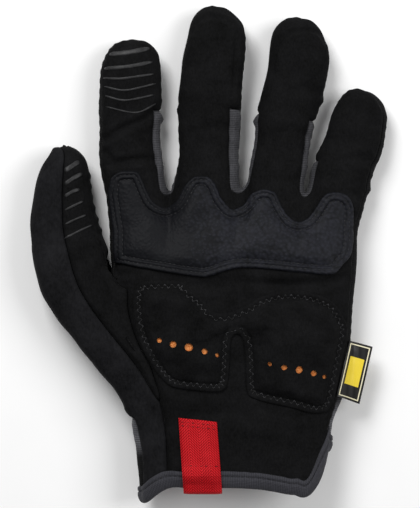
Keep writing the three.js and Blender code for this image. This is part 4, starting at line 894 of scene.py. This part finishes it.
def threads(name, rows, material, pitch, length, width, rise):
    """Rows of stitches, each row a line of points and normals, made with Geometry Nodes."""
    verts, ups, edges = [], [], []
    for line, normal, closed in rows:
        first = len(verts)
        verts += ((line + normal * rise + cuff_middle) * mm).tolist()
        ups += normal.tolist()
        edges += [(first + i, first + i + 1) for i in range(len(line) - 1)]
        edges += [(first + len(line) - 1, first)] if closed else []
    mesh = bpy.data.meshes.new(name + "_path")
    mesh.from_pydata(verts, edges, [])
    mesh.attributes.new("outward", "FLOAT_VECTOR", "POINT").data.foreach_set("vector", np.ravel(ups))
    tree = bpy.data.node_groups.new(name + "_rows", "GeometryNodeTree")
    make = tree.interface.new_socket
    make("Geometry", in_out="INPUT", socket_type="NodeSocketGeometry")
    sizes = [make(label, in_out="INPUT", socket_type="NodeSocketFloat")
             for label in ("Stitch Pitch", "Stitch Length", "Thread Width")]
    thread = make("Thread", in_out="INPUT", socket_type="NodeSocketMaterial")
    make("Geometry", in_out="OUTPUT", socket_type="NodeSocketGeometry")
    given = add(tree, "NodeGroupInput").node.outputs
    line = add(tree, "GeometryNodeMeshToCurve", {"Mesh": given["Geometry"]})
    line = add(tree, "GeometryNodeResampleCurve", {"Curve": line, "Length": given["Stitch Pitch"]},
               mode="LENGTH")
    ball = add(tree, "GeometryNodeMeshUVSphere", {"Segments": 6, "Rings": 4, "Radius": 0.5})
    size = add(tree, "CombineXYZ", [given["Stitch Length"], given["Thread Width"], given["Thread Width"]])
    stitch = add(tree, "GeometryNodeTransform", {"Geometry": ball, "Scale": size})
    tangent = add(tree, "GeometryNodeInputTangent")
    outward = add(tree, "GeometryNodeInputNamedAttribute", {"Name": "outward"}, data_type="FLOAT_VECTOR")
    turn = add(tree, "FunctionNodeAxesToRotation", [tangent, outward], primary_axis="X", secondary_axis="Z")
    laid = add(tree, "GeometryNodeInstanceOnPoints", {"Points": line, "Instance": stitch, "Rotation": turn})
    real = add(tree, "GeometryNodeRealizeInstances", [laid])
    soft = add(tree, "GeometryNodeSetShadeSmooth", [real])
    dyed = add(tree, "GeometryNodeSetMaterial", {"Geometry": soft, "Material": given["Thread"]})
    tree.links.new(dyed, tree.nodes.new("NodeGroupOutput").inputs[0])
    path = link(bpy.data.objects.new(name + "_path", mesh))
    modifier = path.modifiers.new("stitches", "NODES")
    modifier.node_group = tree
    for socket, value in zip(sizes, (pitch, length, width)):
        modifier[socket.identifier] = value * mm
    modifier[thread.identifier] = material
    made = evaluated(path)
    bpy.data.objects.remove(path)
    if "outward" in made.attributes:
        made.attributes.remove(made.attributes["outward"])
    return finish(link(bpy.data.objects.new(name, made)), None)


def thread_material(name, dark, pale):
    """Bonded polyester thread: plies twisted in turns of about 3 mm, with a slight shine."""
    material, tree, shader, place = new_material(name, Roughness=0.55, Specular_IOR_Level=0.3)
    ply = add(tree, "TexWave", {"Vector": place, "Scale": 100, "Distortion": 1.0}, "Fac",
              bands_direction="DIAGONAL")
    dress(shader, ply, [(0.2, dark), (0.8, pale)])
    return material


# The patch runs out to the palm's side seams, where it is caught in them.
palm_rim = skin[np.unique(border_edges(skin_faces[face_panel == PALM]))]


def palm_side(y, sign):
    side = palm_rim[(palm_rim[:, 0] * sign > 45) & (palm_rim[:, 1] > 85) & (palm_rim[:, 1] < 165)]
    side = side[np.argsort(side[:, 1])]
    return np.interp(y, side[:, 1], side[:, 0])


PATCH_OUTLINE = [
    (-63.4, 138.8), (-63.9, 123.8), (-62.9, 112.2), (-56.9, 111.8), (-46.9, 109.8), (-34.4, 107.8),
    (-19.4, 105.5), (-12.7, 105.5), (-2.9, 108.7), (4.1, 109.8), (14.6, 109.3), (25.1, 108.2),
    (35.6, 107.2), (42.8, 106.6), (49.8, 107.2), (54.0, 111.5), (57.5, 115.8), (58.9, 122.8),
    (59.1, 129.8), (59.6, 135.9), (59.3, 140.9), (56.9, 145.1), (52.7, 147.2), (47.7, 147.2),
    (44.4, 145.1), (40.3, 138.8), (36.1, 133.9), (31.1, 132.7), (27.0, 135.2), (23.6, 140.9),
    (20.4, 147.2), (14.6, 148.8), (9.9, 147.2), (7.5, 144.2), (4.1, 140.6), (-0.9, 138.9), (-3.2, 140.6),
    (-6.6, 145.1), (-9.0, 150.9), (-12.4, 154.7), (-16.9, 155.6), (-20.7, 154.7), (-24.0, 150.9),
    (-28.1, 143.0), (-32.4, 140.1), (-36.4, 140.1), (-40.6, 143.0), (-43.0, 147.6), (-45.5, 153.4),
    (-48.0, 157.6), (-53.0, 158.1), (-57.1, 157.6), (-60.4, 155.2), (-61.7, 151.8)]
patch_thick, ridge_height, seam_clearance = 0.8, 0.7, 0.5
patch_rows = (2.08, 4.4)
patch_line = curve_through(PATCH_OUTLINE, 0.7, True)
patch_line[:, 0] = np.clip(patch_line[:, 0], palm_side(patch_line[:, 1], -1) + seam_clearance,
                           palm_side(patch_line[:, 1], 1) - seam_clearance)


def patch_top(flat, depth):
    bead = lambda middle, half: dome(np.clip(1 - np.abs(depth - middle) / half, 0, 1), 1)
    ridges = ridge_height * (bead(1.05, 0.95) + 0.75 * bead(3.1, 0.9))
    puff = 0.75 * smooth(4.6, 9, depth)
    uneven = ripples(in_space(flat), 11, (26, 11), (0.22, 0.1)) * smooth(4, 8, depth)
    needle_line = 0.45 * bell(depth, patch_rows[1], 0.45)
    return 0.1 + patch_thick * dome(depth, 0.7) + ridges + puff + uneven - needle_line


def pebbled(name, dark, pale, grain_mm):
    """Embossed synthetic leather: small rounded pebbles with darker creases between, and a dull gloss."""
    material, tree, shader, place = new_material(name, Roughness=0.62, Specular_IOR_Level=0.14)
    wander = add(tree, "TexNoise", {"Vector": place, "Scale": per_mm / 3}, "Color")
    step = add(tree, "VectorMath", {0: wander, 3: 0.9 * mm}, operation="SCALE")
    warped = add(tree, "VectorMath", [place, step], operation="ADD")
    pebbles = add(tree, "TexVoronoi", {"Vector": warped, "Scale": per_mm / grain_mm, "Randomness": 0.9},
                  feature="SMOOTH_F1")
    raised = total(tree, 1, (pebbles, -1))
    worn = add(tree, "TexNoise", {"Vector": place, "Scale": per_mm / 12, "Detail": 4, "Roughness": 0.65})
    # Painted shade: the patch is darker towards the thumb's end, where it turns away from the light.
    thumb_end_shade = add(tree, "MapRange", {"Value": add(tree, "SeparateXYZ", [place]), "From Min": -0.045,
                                    "From Max": 0.008, "To Min": -0.6, "To Max": 0.0})
    tone = total(tree, thumb_end_shade, (raised, 0.55), (worn, 0.5))
    folds = add(tree, "TexNoise", {"Vector": place, "Scale": per_mm / 4})
    dress(shader, tone, [(0.4, dark), (0.8, pale)], (folds, 0.12), (raised, 0.28))
    return material


patch_leather = pebbled("pebbled_synthetic_leather", "0A0B0F", "1F2027", 1.5)
patch_insets = (0.3, 0.65, 1.05, 1.5, 1.95, 2.3, 2.7, 3.1, 3.55, 4.0, 4.4, 4.8, 5.5)
patch = drape("knuckle_patch", patch_line, patch_insets, 0.85, patch_top, lambda *_: 0.04, patch_leather)
finish(patch, "palm_reinforcement")
dark_thread = thread_material("black_bonded_thread", "08080A", "1E1E20")
rows = []
for inset in patch_rows:
    line = curve_through(inset_line(patch_line, inset)[::2], 0.8, True)
    at, normal = skin_at(line)
    rows.append((at + normal * patch_top(line, np.full(len(line), inset))[:, None], normal, True))
threads("patch_stitching", rows, dark_thread, pitch=2.3, length=1.75, width=0.55, rise=0.05)

# The butterfly pad on the heel of the hand.
# One suede cover in two lobes over orange foam, held down by a zig-zag of stitches just inside its
# edge. A row of punched holes in each lobe, largest in the middle, shows the foam.
PAD_OUTLINE = [
    (-29.9, 50.9), (-19.2, 49.2), (-8.7, 48.5), (-5.1, 49.6), (-3.0, 53.1), (-2.0, 63.8), (-1.6, 72.8),
    (-0.4, 76.0), (1.4, 77.1), (3.5, 75.8), (4.9, 72.2), (5.6, 63.2), (5.9, 52.8), (7.0, 46.9),
    (11.1, 44.8), (18.1, 42.8), (28.6, 40.6), (40.6, 37.8), (48.4, 42.0), (53.3, 63.2), (56.1, 78.5),
    (54.0, 85.5), (49.8, 91.8), (42.8, 96.1), (32.1, 98.5), (22.4, 98.2), (12.6, 95.3), (7.0, 91.8),
    (-2.9, 87.8), (-9.9, 87.8), (-12.9, 91.2), (-15.7, 94.4), (-21.4, 98.8), (-25.5, 103.0),
    (-33.9, 103.5), (-41.9, 103.2), (-47.4, 101.8), (-49.6, 97.2), (-49.9, 89.8), (-48.6, 80.2),
    (-45.9, 71.2), (-40.9, 62.2), (-35.4, 54.8)]
PUNCHED_HOLES = [
    (-36.7, 74.0, 2.5), (-29.9, 72.3, 3.2), (-22.5, 70.8, 3.9), (-14.8, 68.7, 3.0), (-8.2, 66.9, 2.1),
    (17.9, 62.9, 2.1), (24.7, 61.3, 2.7), (31.7, 59.9, 3.6), (39.0, 57.9, 2.9), (44.0, 56.1, 2.1)]
pad_line = curve_through(PAD_OUTLINE, 0.6, True)
cover_thick, cover_gap, foam_rise, lobe_split, stitch_row = 0.9, 0.12, 2.9, 1.4, 3.9


def zigzag(outline, inner, outer, step):
    """The corners of a zig-zag between two insets of an outline."""
    count = 2 * round(run(outline)[-1] / step / 2)
    at = np.linspace(0, len(outline), count, endpoint=False).astype(int)
    inset = np.where(np.arange(count) % 2, inner, outer)
    return outline[at] + inward(outline)[at] * inset[:, None]


zig = zigzag(pad_line, stitch_row, 1.9, 1.7)
needle_holes = kd_tree(in_space(zig))


def cover_shape(flat, depth):
    """The cover's height: a rolled rim, two domed lobes, and needle holes that draw it in."""
    lobe = np.minimum(depth, np.abs(flat[:, 0] - lobe_split) * 0.9)
    rim = cover_thick * dome(depth, 0.8) + cover_gap
    crown = foam_rise * dome(lobe - stitch_row, 13) ** 1.15
    lip = 0.2 * smooth(0.8, 1.6, depth) * smooth(2.2, 1.6, depth)
    from_hole = np.array([needle_holes.find(p)[2] for p in in_space(flat)])
    drawn_in = 0.3 * bell(depth, stitch_row, 1.0) + 0.42 * bell(from_hole, 0, 0.62)
    uneven = ripples(in_space(flat), 21, (19, 9), (0.22, 0.1)) * smooth(3, 8, depth)
    return rim + crown + lip - drawn_in + uneven


# A coarse sheet of the cover, held along its stitches and a little too large, settles under light
# pressure from the foam. Its rise and fall is carried over to the fine cover.
sheet, sheet_triangles = fill_outline(curve_through(PAD_OUTLINE, 3, True), (stitch_row,), 3.6)
slack = np.zeros(len(sheet))
on_skin, away = skin_at(sheet)
stitch_depth = to_lines(sheet, pad_line, True)[0]
start = on_skin + away * cover_shape(sheet, stitch_depth)[:, None]
cloth_sheet = place_mesh("cover_sheet", start, sheet_triangles.tolist(), palm_suede)
held_row = cloth_sheet.vertex_groups.new(name="stitched")
held_row.add(np.flatnonzero(stitch_depth < stitch_row + 0.7).tolist(), 1.0, "REPLACE")
cloth = cloth_sheet.modifiers.new("cloth", "CLOTH").settings
cloth.quality, cloth.mass, cloth.vertex_group_mass = 8, 0.15, "stitched"
cloth.use_pressure, cloth.uniform_pressure_force = True, 4
cloth.shrink_min = cloth.shrink_max = -0.05
cloth.effector_weights.gravity = 0
settle_frames = 20
for number in range(1, settle_frames + 1):
    bpy.context.scene.frame_set(number)
sheet_now = cloth_sheet.evaluated_get(bpy.context.evaluated_depsgraph_get())
moved = coordinates(sheet_now.data) / mm - cuff_middle - start
slack = np.clip((moved * away).sum(1), -0.8, 1.4)
bpy.data.objects.remove(cloth_sheet)
bpy.context.scene.frame_set(1)
sheet_places = kd_tree(in_space(sheet))


def cover_top(flat, depth):
    """The cover's height with the settled sheet's rise, from the nine sheet points nearest each place."""
    height = cover_shape(flat, depth)
    for i, p in enumerate(in_space(flat)):
        near = sheet_places.find_n(p, 9)
        weight = [math.exp(-(distance / 2.2) ** 2) + 1e-9 for *_, distance in near]
        height[i] += sum(w * slack[which] for w, (_, which, _) in zip(weight, near)) / sum(weight)
    return height


def foam_top(flat, depth):
    whole = to_lines(flat, pad_line, True)[0]
    return np.minimum(cover_top(flat, whole) - cover_thick - cover_gap, cover_gap + 3 * depth)


cover_insets = (0.35, 0.8, 1.3, 1.75, 2.2, 2.65, 3.1, 3.55, 4, 4.5, 5.1)
cover = drape("heel_pad_cover", pad_line, cover_insets, 0.95, cover_top,
              lambda flat, depth: np.maximum(0.04, cover_top(flat, depth) - cover_thick),
              palm_suede, PUNCHED_HOLES)
finish(cover, "palm_pad_cover")

foam_material, tree, shader, place = new_material("orange_foam", Roughness=0.85, Specular_IOR_Level=0.2)
cells = add(tree, "TexVoronoi", {"Vector": place, "Scale": per_mm / 0.6})
dress(shader, cells, [(0.1, "E39A5C"), (0.7, "B5622A")], (cells, 0.12))
LOBES = {"foam_thumb_side": ("pad_core_thumb_side", -1), "foam_little_side": ("pad_core_little_side", 1)}
core_line = inset_line(pad_line, 5.2)
for name, (node, sign) in LOBES.items():
    lobe = core_line[(core_line[:, 0] - lobe_split) * sign > 4.5]
    turn = np.argsort(np.arctan2(*(lobe - lobe.mean(0)).T[::-1]))
    lobe_line = curve_through(lobe[turn][::4], 1.2, True)
    core = drape(name, lobe_line, (0.6, 1.5), 1.6, foam_top, lambda *_: 0.03, foam_material)
    finish(core, node)

# Each thread of the zig-zag spans from hole to hole over the cloth between them.
# The zig-zag's black thread is coloured paler than the patch's: painted highlight, standing in for the glints
# along it.
glint_lit_thread = thread_material("black_thread_with_painted_glints", "121213", "2C2C2E")
spans = np.stack([zig, np.roll(zig, -1, 0)], 1)
spans = spans[np.linalg.norm(spans[:, 1] - spans[:, 0], axis=1) < 6]
rows = []
for shares in [np.array([mix(a, b, share) for share in (0.2, 0.8)]) for a, b in spans]:
    hit, normal = skin_at(shares)
    lift = cover_top(shares, to_lines(shares, pad_line, True)[0])
    rows.append((hit + normal * lift.max(), normal, False))
threads("pad_stitching", rows, glint_lit_thread, pitch=5, length=1.6, width=0.42, rise=0.02)

# The grip bars.
# Silicone rubber printed on the suede of the index fingertip and beside the thumb's seam, thick at
# the tip and thinner row by row, slightly domed with soft ends.
BARS = {
    "index": [([(-62.1, 216.4), (-52.4, 217.2), (-42.2, 219.3)], 2.5),
              ([(-64.7, 209.3), (-52.9, 210.0), (-40.6, 212.4)], 2.0),
              ([(-65.2, 204.6), (-55.4, 204.1), (-39.9, 206.4)], 1.3),
              ([(-64.6, 200.4), (-53.9, 198.2), (-38.9, 201.7)], 1.1),
              ([(-64.2, 195.7), (-53.9, 193.2), (-39.7, 196.1)], 1.1),
              ([(-63.8, 190.2), (-48.9, 187.1), (-38.9, 191.8)], 0.9)],
    "thumb": [([(-84.2, 157.9), (-80.6, 160.2), (-76.9, 162.8)], 2.5),
              ([(-84.0, 151.3), (-79.9, 154.2), (-75.4, 156.8)], 2.1),
              ([(-84.0, 145.2), (-80.4, 147.5), (-76.6, 148.9)], 1.8),
              ([(-84.0, 138.3), (-79.6, 140.6), (-74.9, 143.0)], 1.3),
              ([(-84.0, 131.3), (-78.9, 133.8), (-73.4, 136.2)], 1.1),
              ([(-84.2, 124.3), (-77.6, 127.8), (-70.4, 131.2)], 1.1)],
}
bar_rise, bar_sunk = 0.42, 0.12
rubber, tree, shader, place = new_material("printed_silicone_rubber", Roughness=0.45, Specular_IOR_Level=0.2)
streaks = add(tree, "TexNoise", {"Vector": place, "Scale": per_mm / 2.4, "Detail": 3, "Roughness": 0.7})
grain = add(tree, "TexNoise", {"Vector": place, "Scale": per_mm / 0.9, "Roughness": 0.6})
dress(shader, streaks, [(0.3, "1C1C1D"), (0.75, "303031")], (grain, 0.1))
for digit, bars in BARS.items():
    for i, (places, wide) in enumerate(bars):
        line = curve_through(places, 0.8)
        side = leftward(unit(np.gradient(line, axis=0)))
        sway = 0.12 * np.sin(np.arange(len(line)) * 0.8 + i)
        share = np.linspace(-1, 1, len(line))
        half = wide / 2 * np.sqrt(np.clip(1 - share**8, 0.12, 1)) + sway * 0.4
        outline = np.concatenate([line - side * half[:, None], (line + side * half[:, None])[::-1]])
        bar = drape(f"{digit}_bar_{i + 1}", outline, (wide * 0.14, wide * 0.3), 0.7,
                    lambda flat, depth: 0.03 + bar_rise * dome(depth, 0.5), lambda *_: -bar_sunk, rubber)
        finish(bar, f"grip_bar_{digit}_{i + 1}")

# The cuff tape.
# A ribbed polyester tape folded over the raw edge of the cuff all round, with one row of stitches
# through both its sides.
def swept(name, rings, closed, material, along, around):
    """A tube through closed rings of points, with a UV map in millimetres along and around it."""
    n, m = rings.shape[:2]
    faces, corners = [], []
    for i in range(n if closed else n - 1):
        for k in range(m):
            j, q = (i + 1) % n, (k + 1) % m
            faces.append((i * m + k, i * m + q, j * m + q, j * m + k))
            corners += [(along[i], around[k]), (along[i], around[k + 1]),
                        (along[i + 1], around[k + 1]), (along[i + 1], around[k])]
    if not closed:
        for ring in (list(range(m))[::-1], list(range((n - 1) * m, n * m))):
            faces.append(tuple(ring))
            corners += [(along[0], around[k % m]) for k in range(m)]
    piece = place_mesh(name, rings.reshape(-1, 3), faces, material)
    layer = piece.data.uv_layers.new(name="cloth")
    layer.data.foreach_set("uv", (np.array(corners) * mm).ravel())
    return piece


def eased(v):
    """A closed row of values, each drawn towards its neighbours."""
    return (np.roll(v, 1, 0) + 2 * v + np.roll(v, -1, 0)) / 4


whole_rim = border_edges(skin_faces)
after = dict(whole_rim.tolist())
start = whole_rim[0, 0]
cuff_loop = [start]
while after[cuff_loop[-1]] != start:
    cuff_loop.append(after[cuff_loop[-1]])
cuff_loop = np.array(cuff_loop)
# The skin's edges that rise from the cuff give the tape its way up.
rising = {}
for face in skin_faces[np.isin(skin_faces, cuff_loop).sum(1) == 2]:
    for i in range(4):
        a, b, c, d = (face[(i + k) % 4] for k in range(4))
        if after.get(a) == b:
            rising[a], rising[b] = rising.get(a, d), c
edge_at = skin[cuff_loop]
edge_up = unit(skin[[rising[i] for i in cuff_loop]] - edge_at)
edge_out = skin_normals[cuff_loop]
for _ in range(6):
    edge_up, edge_out = unit(eased(edge_up)), unit(eased(edge_out))
# Up the outside, round the fold and up the inside: height above the edge, and distance off the skin.
TAPE = [
    (7.4, 0.1), (7.45, 0.7), (7.1, 1.0), (6.2, 1.1), (5.4, 1.1), (4.85, 0.5), (4.3, 1.12), (3.0, 1.2),
    (1.4, 1.3), (0, 1.3), (-0.9, 0.95), (-1.35, 0.3), (-1.45, -0.6), (-1.3, -1.5), (-0.8, -2.2),
    (0.3, -2.55), (3.0, -2.5), (6.6, -2.4), (7.2, -2.1), (7.2, -1.5), (3.5, -1.5), (0.2, -1.5),
    (-0.3, -0.8), (0.1, 0.06), (3.5, 0.08)]
along = run(np.vstack([edge_at, edge_at[:1]]))
across_tape = unit(np.cross(edge_out, np.roll(edge_at, -1, 0) - np.roll(edge_at, 1, 0)))
slant = np.maximum(0.5, np.abs((across_tape * edge_up).sum(1)))[:, None]
rings = []
for up, out in TAPE:
    row = edge_at + edge_up * up / slant
    if up > 0.5:
        at, normal = skin_at(row, False)
        rings.append(at + unit(normal + edge_out) * out)
    else:
        rings.append(row + edge_out * out)
rings = np.stack(rings, 1)
for _ in range(2):
    rings = eased(rings)
rings[:, :, 2] = np.maximum(rings[:, :, 2], above_table)
tape_fabric, tree, shader, place = new_material(
    "ribbed_binding_tape", Roughness=0.7, Specular_IOR_Level=0.14, Sheen_Weight=0.04, Sheen_Roughness=0.4)
cloth = add(tree, "UVMap", uv_map="cloth")
ribs, weft = (add(tree, "TexWave", {"Vector": cloth, "Scale": wave_mm / apart, "Distortion": waver,
                                    "Detail Scale": 1.5}, "Fac", bands_direction=way)
              for apart, waver, way in ((0.85, 0.6, "X"), (0.7, 0.4, "Y")))
weave = total(tree, 0, (ribs, 0.6), (weft, 0.4))
fuzz = add(tree, "TexNoise", {"Vector": place, "Scale": per_mm / 1.6, "Detail": 3})
tone = total(tree, 0, (weave, 0.7), (fuzz, 0.3))
dress(shader, tone, [(0.1, "1E1E22"), (0.9, "424248")], (weave, 0.18))
tape = swept("cuff_tape", rings, True, tape_fabric, along, run(np.array(TAPE + TAPE[:1])))
finish(tape, "cuff_binding")
line = rings[:, TAPE.index((4.85, 0.5))]
normal = unit(line - skin_at(line, False)[0])
threads("tape_stitching", [(line, normal, True)], dark_thread,
        pitch=2.6, length=1.9, width=0.5, rise=0.06)

# The pull loop.
# Red herringbone webbing, 19 mm wide, sewn to the palm, folded round the cuff and sewn down inside.
loop_wide, loop_thick = 19.0, 1.0
# Down the palm, round the cuff and up inside it: height above the cuff, and distance off the skin.
ROUTE = [
    (34.8, 0.62), (30, 0.66), (24, 0.68), (18, 0.7), (14, 0.8), (12, 1.1), (10.4, 1.8), (8, 2.05),
    (5, 2.1), (2.6, 2.1), (1, 2.0), (-0.5, 1.5), (-1.2, 0.4), (-1.3, -0.8), (-1.0, -2.2), (0.1, -3.0),
    (2, -3.25), (5, -3.3), (9, -3.2), (12, -2.5), (15, -2.05), (20, -2.0), (26, -2.0)]
route = curve_through(ROUTE, 0.9)
foot_x, foot_y, head_x, head_y = -15.6, 2.6, -17.95, 34.8
across = np.linspace(-0.5, 0.5, 11)
lean = (head_x - foot_x) / (head_y - foot_y)
grid = np.empty((len(route), len(across), 3))
for i, (y, out) in enumerate(route):
    x = foot_x + (max(y, 0) - foot_y) * lean + across * loop_wide
    tilt = np.interp(y, [10, 34], [0, -1]) * across * 2.0
    at, _ = skin_at(np.stack([x, np.full(len(x), max(y, foot_y + 0.6)) + tilt], 1))
    grid[i] = np.stack([x, y + tilt, at[:, 2] + out], 1)
face = unit(np.cross(unit(np.gradient(grid, axis=0)), unit(np.gradient(grid, axis=1))))
face *= np.sign((face[2, :, 2]).mean())
half = loop_thick / 2 * np.array([0.45, 0.85] + [1] * 7 + [0.85, 0.45])[None, :, None]
rings = np.concatenate([grid + face * half, (grid - face * half)[:, ::-1]], 1)
girth = loop_wide / 2 + np.concatenate([
    across * loop_wide, loop_wide + across * loop_wide, [loop_wide * 1.5]])
webbing, tree, shader, place = new_material("red_herringbone_webbing", Roughness=0.6, Specular_IOR_Level=0.08)
cloth = add(tree, "UVMap", uv_map="cloth")
along, around = (add(tree, "SeparateXYZ", [cloth], axis) for axis in "XY")
# The twill's slant turns at every quarter of the width, and a fine cord runs along the webbing.
chevron, twill_turn, cord_turn = 0.0048, 2 * math.pi / 0.0013, 2 * math.pi / 0.0012
column = add(tree, "Math", [around, chevron], operation="PINGPONG")
twill = add(tree, "Math", [total(tree, 0, (along, twill_turn), (column, twill_turn))], operation="SINE")
cord = add(tree, "Math", [total(tree, 0, (around, cord_turn))], operation="SINE")
weave = total(tree, 0.5, (cord, 0.12), (twill, 0.38))
faded = add(tree, "TexNoise", {"Vector": place, "Scale": per_mm / 6, "Detail": 3})
# Over the cuff the webbing lies double and pressed flat; a band of painted shade makes it a little darker
# there.
fold_shade = add(tree, "Math", [along, 0.0308, 0.0033], operation="COMPARE")
tone = total(tree, -0.25, (weave, 1), (faded, 0.5), (fold_shade, -0.2))
dress(shader, tone, [(0.0, "78040A"), (0.5, "AA0D15"), (0.95, "CE262D")], (weave, 0.2))
loop = swept("red_pull_loop", rings, False, webbing, run(route), girth)
finish(loop, "pull_loop")
red_thread = thread_material("red_bonded_thread", "5A0408", "A01218")
rows = []
for y in (33.2, 31.4, 12.6):
    i = int(np.argmin(np.abs(route[:len(route) // 2, 0] - y)))
    rows.append((grid[i, 1:-1] + face[i, 1:-1] * loop_thick / 2, face[i, 1:-1], False))
threads("loop_stitching", rows, red_thread, pitch=2.2, length=1.7, width=0.5, rise=0.03)

# The side label.
# A folded woven satin tab caught in the side seam below the little finger: black with a cream border
# and a plain yellow band.
label_low, label_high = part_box("side_label")
TAB = [(50.8, 46.2), (62.8, 41.7), (69.4, 70.4), (57.5, 73.6)]
tab_level = (label_low[2] + label_high[2]) * 500
tab_long, tab_wide, tab_half = 29.5, 12.6, 0.42
foot_left, foot_right, head_right, head_left = (np.array(p) for p in TAB)
steps_along, steps_across = 24, 11
share = np.linspace(0, 1, steps_across)
rings = []
for s in np.linspace(0, 1, steps_along):
    a, b = mix(foot_left, head_left, s), mix(foot_right, head_right, s)
    bow = 0.7 * np.sin(math.pi * s) * share - 0.9 * share**2 * (1 - s)
    row = np.stack([mix(a[0], b[0], share), mix(a[1], b[1], share), tab_level + bow], 1)
    # Its sewn edge is laid up over the side of the palm.
    below, _ = skin_at(row)
    covered = np.hypot(*(below - row)[:, :2].T) < 0.05
    row[covered, 2] = np.maximum(row[covered, 2], below[covered, 2] + 1.0)
    for _ in range(3):
        row[1:-1, 2] = np.maximum(row[1:-1, 2], (row[:-2, 2] + row[1:-1, 2] + row[2:, 2]) / 3)
    thick = tab_half * np.sqrt(np.clip(1 - (2 * share - 1) ** 10, 0.1, 1))[:, None]
    thick = thick * (0.5 if s in (0.0, 1.0) else 1) * (0, 0, 1)
    rings.append(np.concatenate([row + thick, (row - thick)[::-1]]))
girth = np.concatenate([tab_wide * share, tab_wide * (1 + share), [25.3]])
woven, tree, shader, place = new_material("woven_satin_label", Roughness=0.45, Specular_IOR_Level=0.35)
cloth = add(tree, "UVMap", uv_map="cloth")
along, around = (add(tree, "SeparateXYZ", [cloth], axis) for axis in "XY")
across = add(tree, "Math", [around, tab_wide * mm], operation="PINGPONG")
from_edge = along
for way in (total(tree, tab_long * mm, (along, -1)), across, total(tree, tab_wide * mm, (across, -1))):
    from_edge = add(tree, "Math", [from_edge, way], operation="MINIMUM")
border = add(tree, "Math", [from_edge, 0.0013, 0.00028], operation="COMPARE")
in_block = add(tree, "Math", [along, 0.0148, 0.0072], operation="COMPARE")
in_border = add(tree, "Math", [from_edge, 0.0026], operation="GREATER_THAN")
block = add(tree, "Math", [in_block, in_border], operation="MULTIPLY")
satin = add(tree, "TexWave", {"Vector": place, "Scale": 100, "Distortion": 0.3}, "Fac", bands_direction="X")
raised = total(tree, 0, (satin, 1), (border, 1), (block, 1))
colour = dress(shader, satin, [(0.2, "0A0A0A"), (0.8, "171716")], (raised, 0.08))
for where, dyed in ((block, "E6CC38"), (border, "EAE3C2")):
    colour = add(tree, "Mix", {0: where, 6: colour, 7: linear(dyed)}, 2, data_type="RGBA")
tree.links.new(colour, shader.inputs["Base Color"])
label_tab = swept("side_tab", np.array(rings), False, woven, np.linspace(0, tab_long, steps_along), girth)
finish(label_tab, "side_label")

# The floor, the light and the camera. The glove is seen from straight above its palm, on a near
# white table, lit by a large soft light behind the fingers on the left and a weaker one on the right.
floor_material, tree, shader, place = new_material("pale_table", Roughness=0.8, Specular_IOR_Level=0.2)
clouds = add(tree, "TexNoise", {"Vector": place, "Scale": per_mm / 60})
dress(shader, clouds, [(0.3, "F4F4F4"), (0.7, "F7F7F7")])
table_half = 2000
table_corners = [(-table_half, -table_half, 0), (table_half, -table_half, 0),
                 (table_half, table_half, 0), (-table_half, table_half, 0)]
place_mesh("table", table_corners, [(0, 1, 2, 3)], floor_material)


def area_light(name, place, size, power):
    lamp = bpy.data.lights.new(name, "AREA")
    lamp.size, lamp.energy = size, power
    holder = link(bpy.data.objects.new(name, lamp))
    holder.location = place
    holder.rotation_euler = (-Vector(place)).to_track_quat("-Z", "Y").to_euler()


area_light("key_light", (-0.45, 0.85, 0.95), 0.6, 14.5)
area_light("fill_light", (1.0, 0.25, 1.0), 0.8, 10)
world = bpy.data.worlds.new("studio")
bpy.context.scene.world = world
world.use_nodes = True
background = world.node_tree.nodes["Background"].inputs
background["Color"].default_value = (1, 1, 1, 1)
background["Strength"].default_value = 0.3
bpy.context.scene.view_settings.view_transform = "Standard"

camera = bpy.data.cameras.new("camera")
camera.sensor_fit, camera.sensor_width, camera.lens = "HORIZONTAL", 36, 212.6
eye = link(bpy.data.objects.new("camera", camera))
eye.location = (0.00061, 0, 1.252)
bpy.context.scene.camera = eye
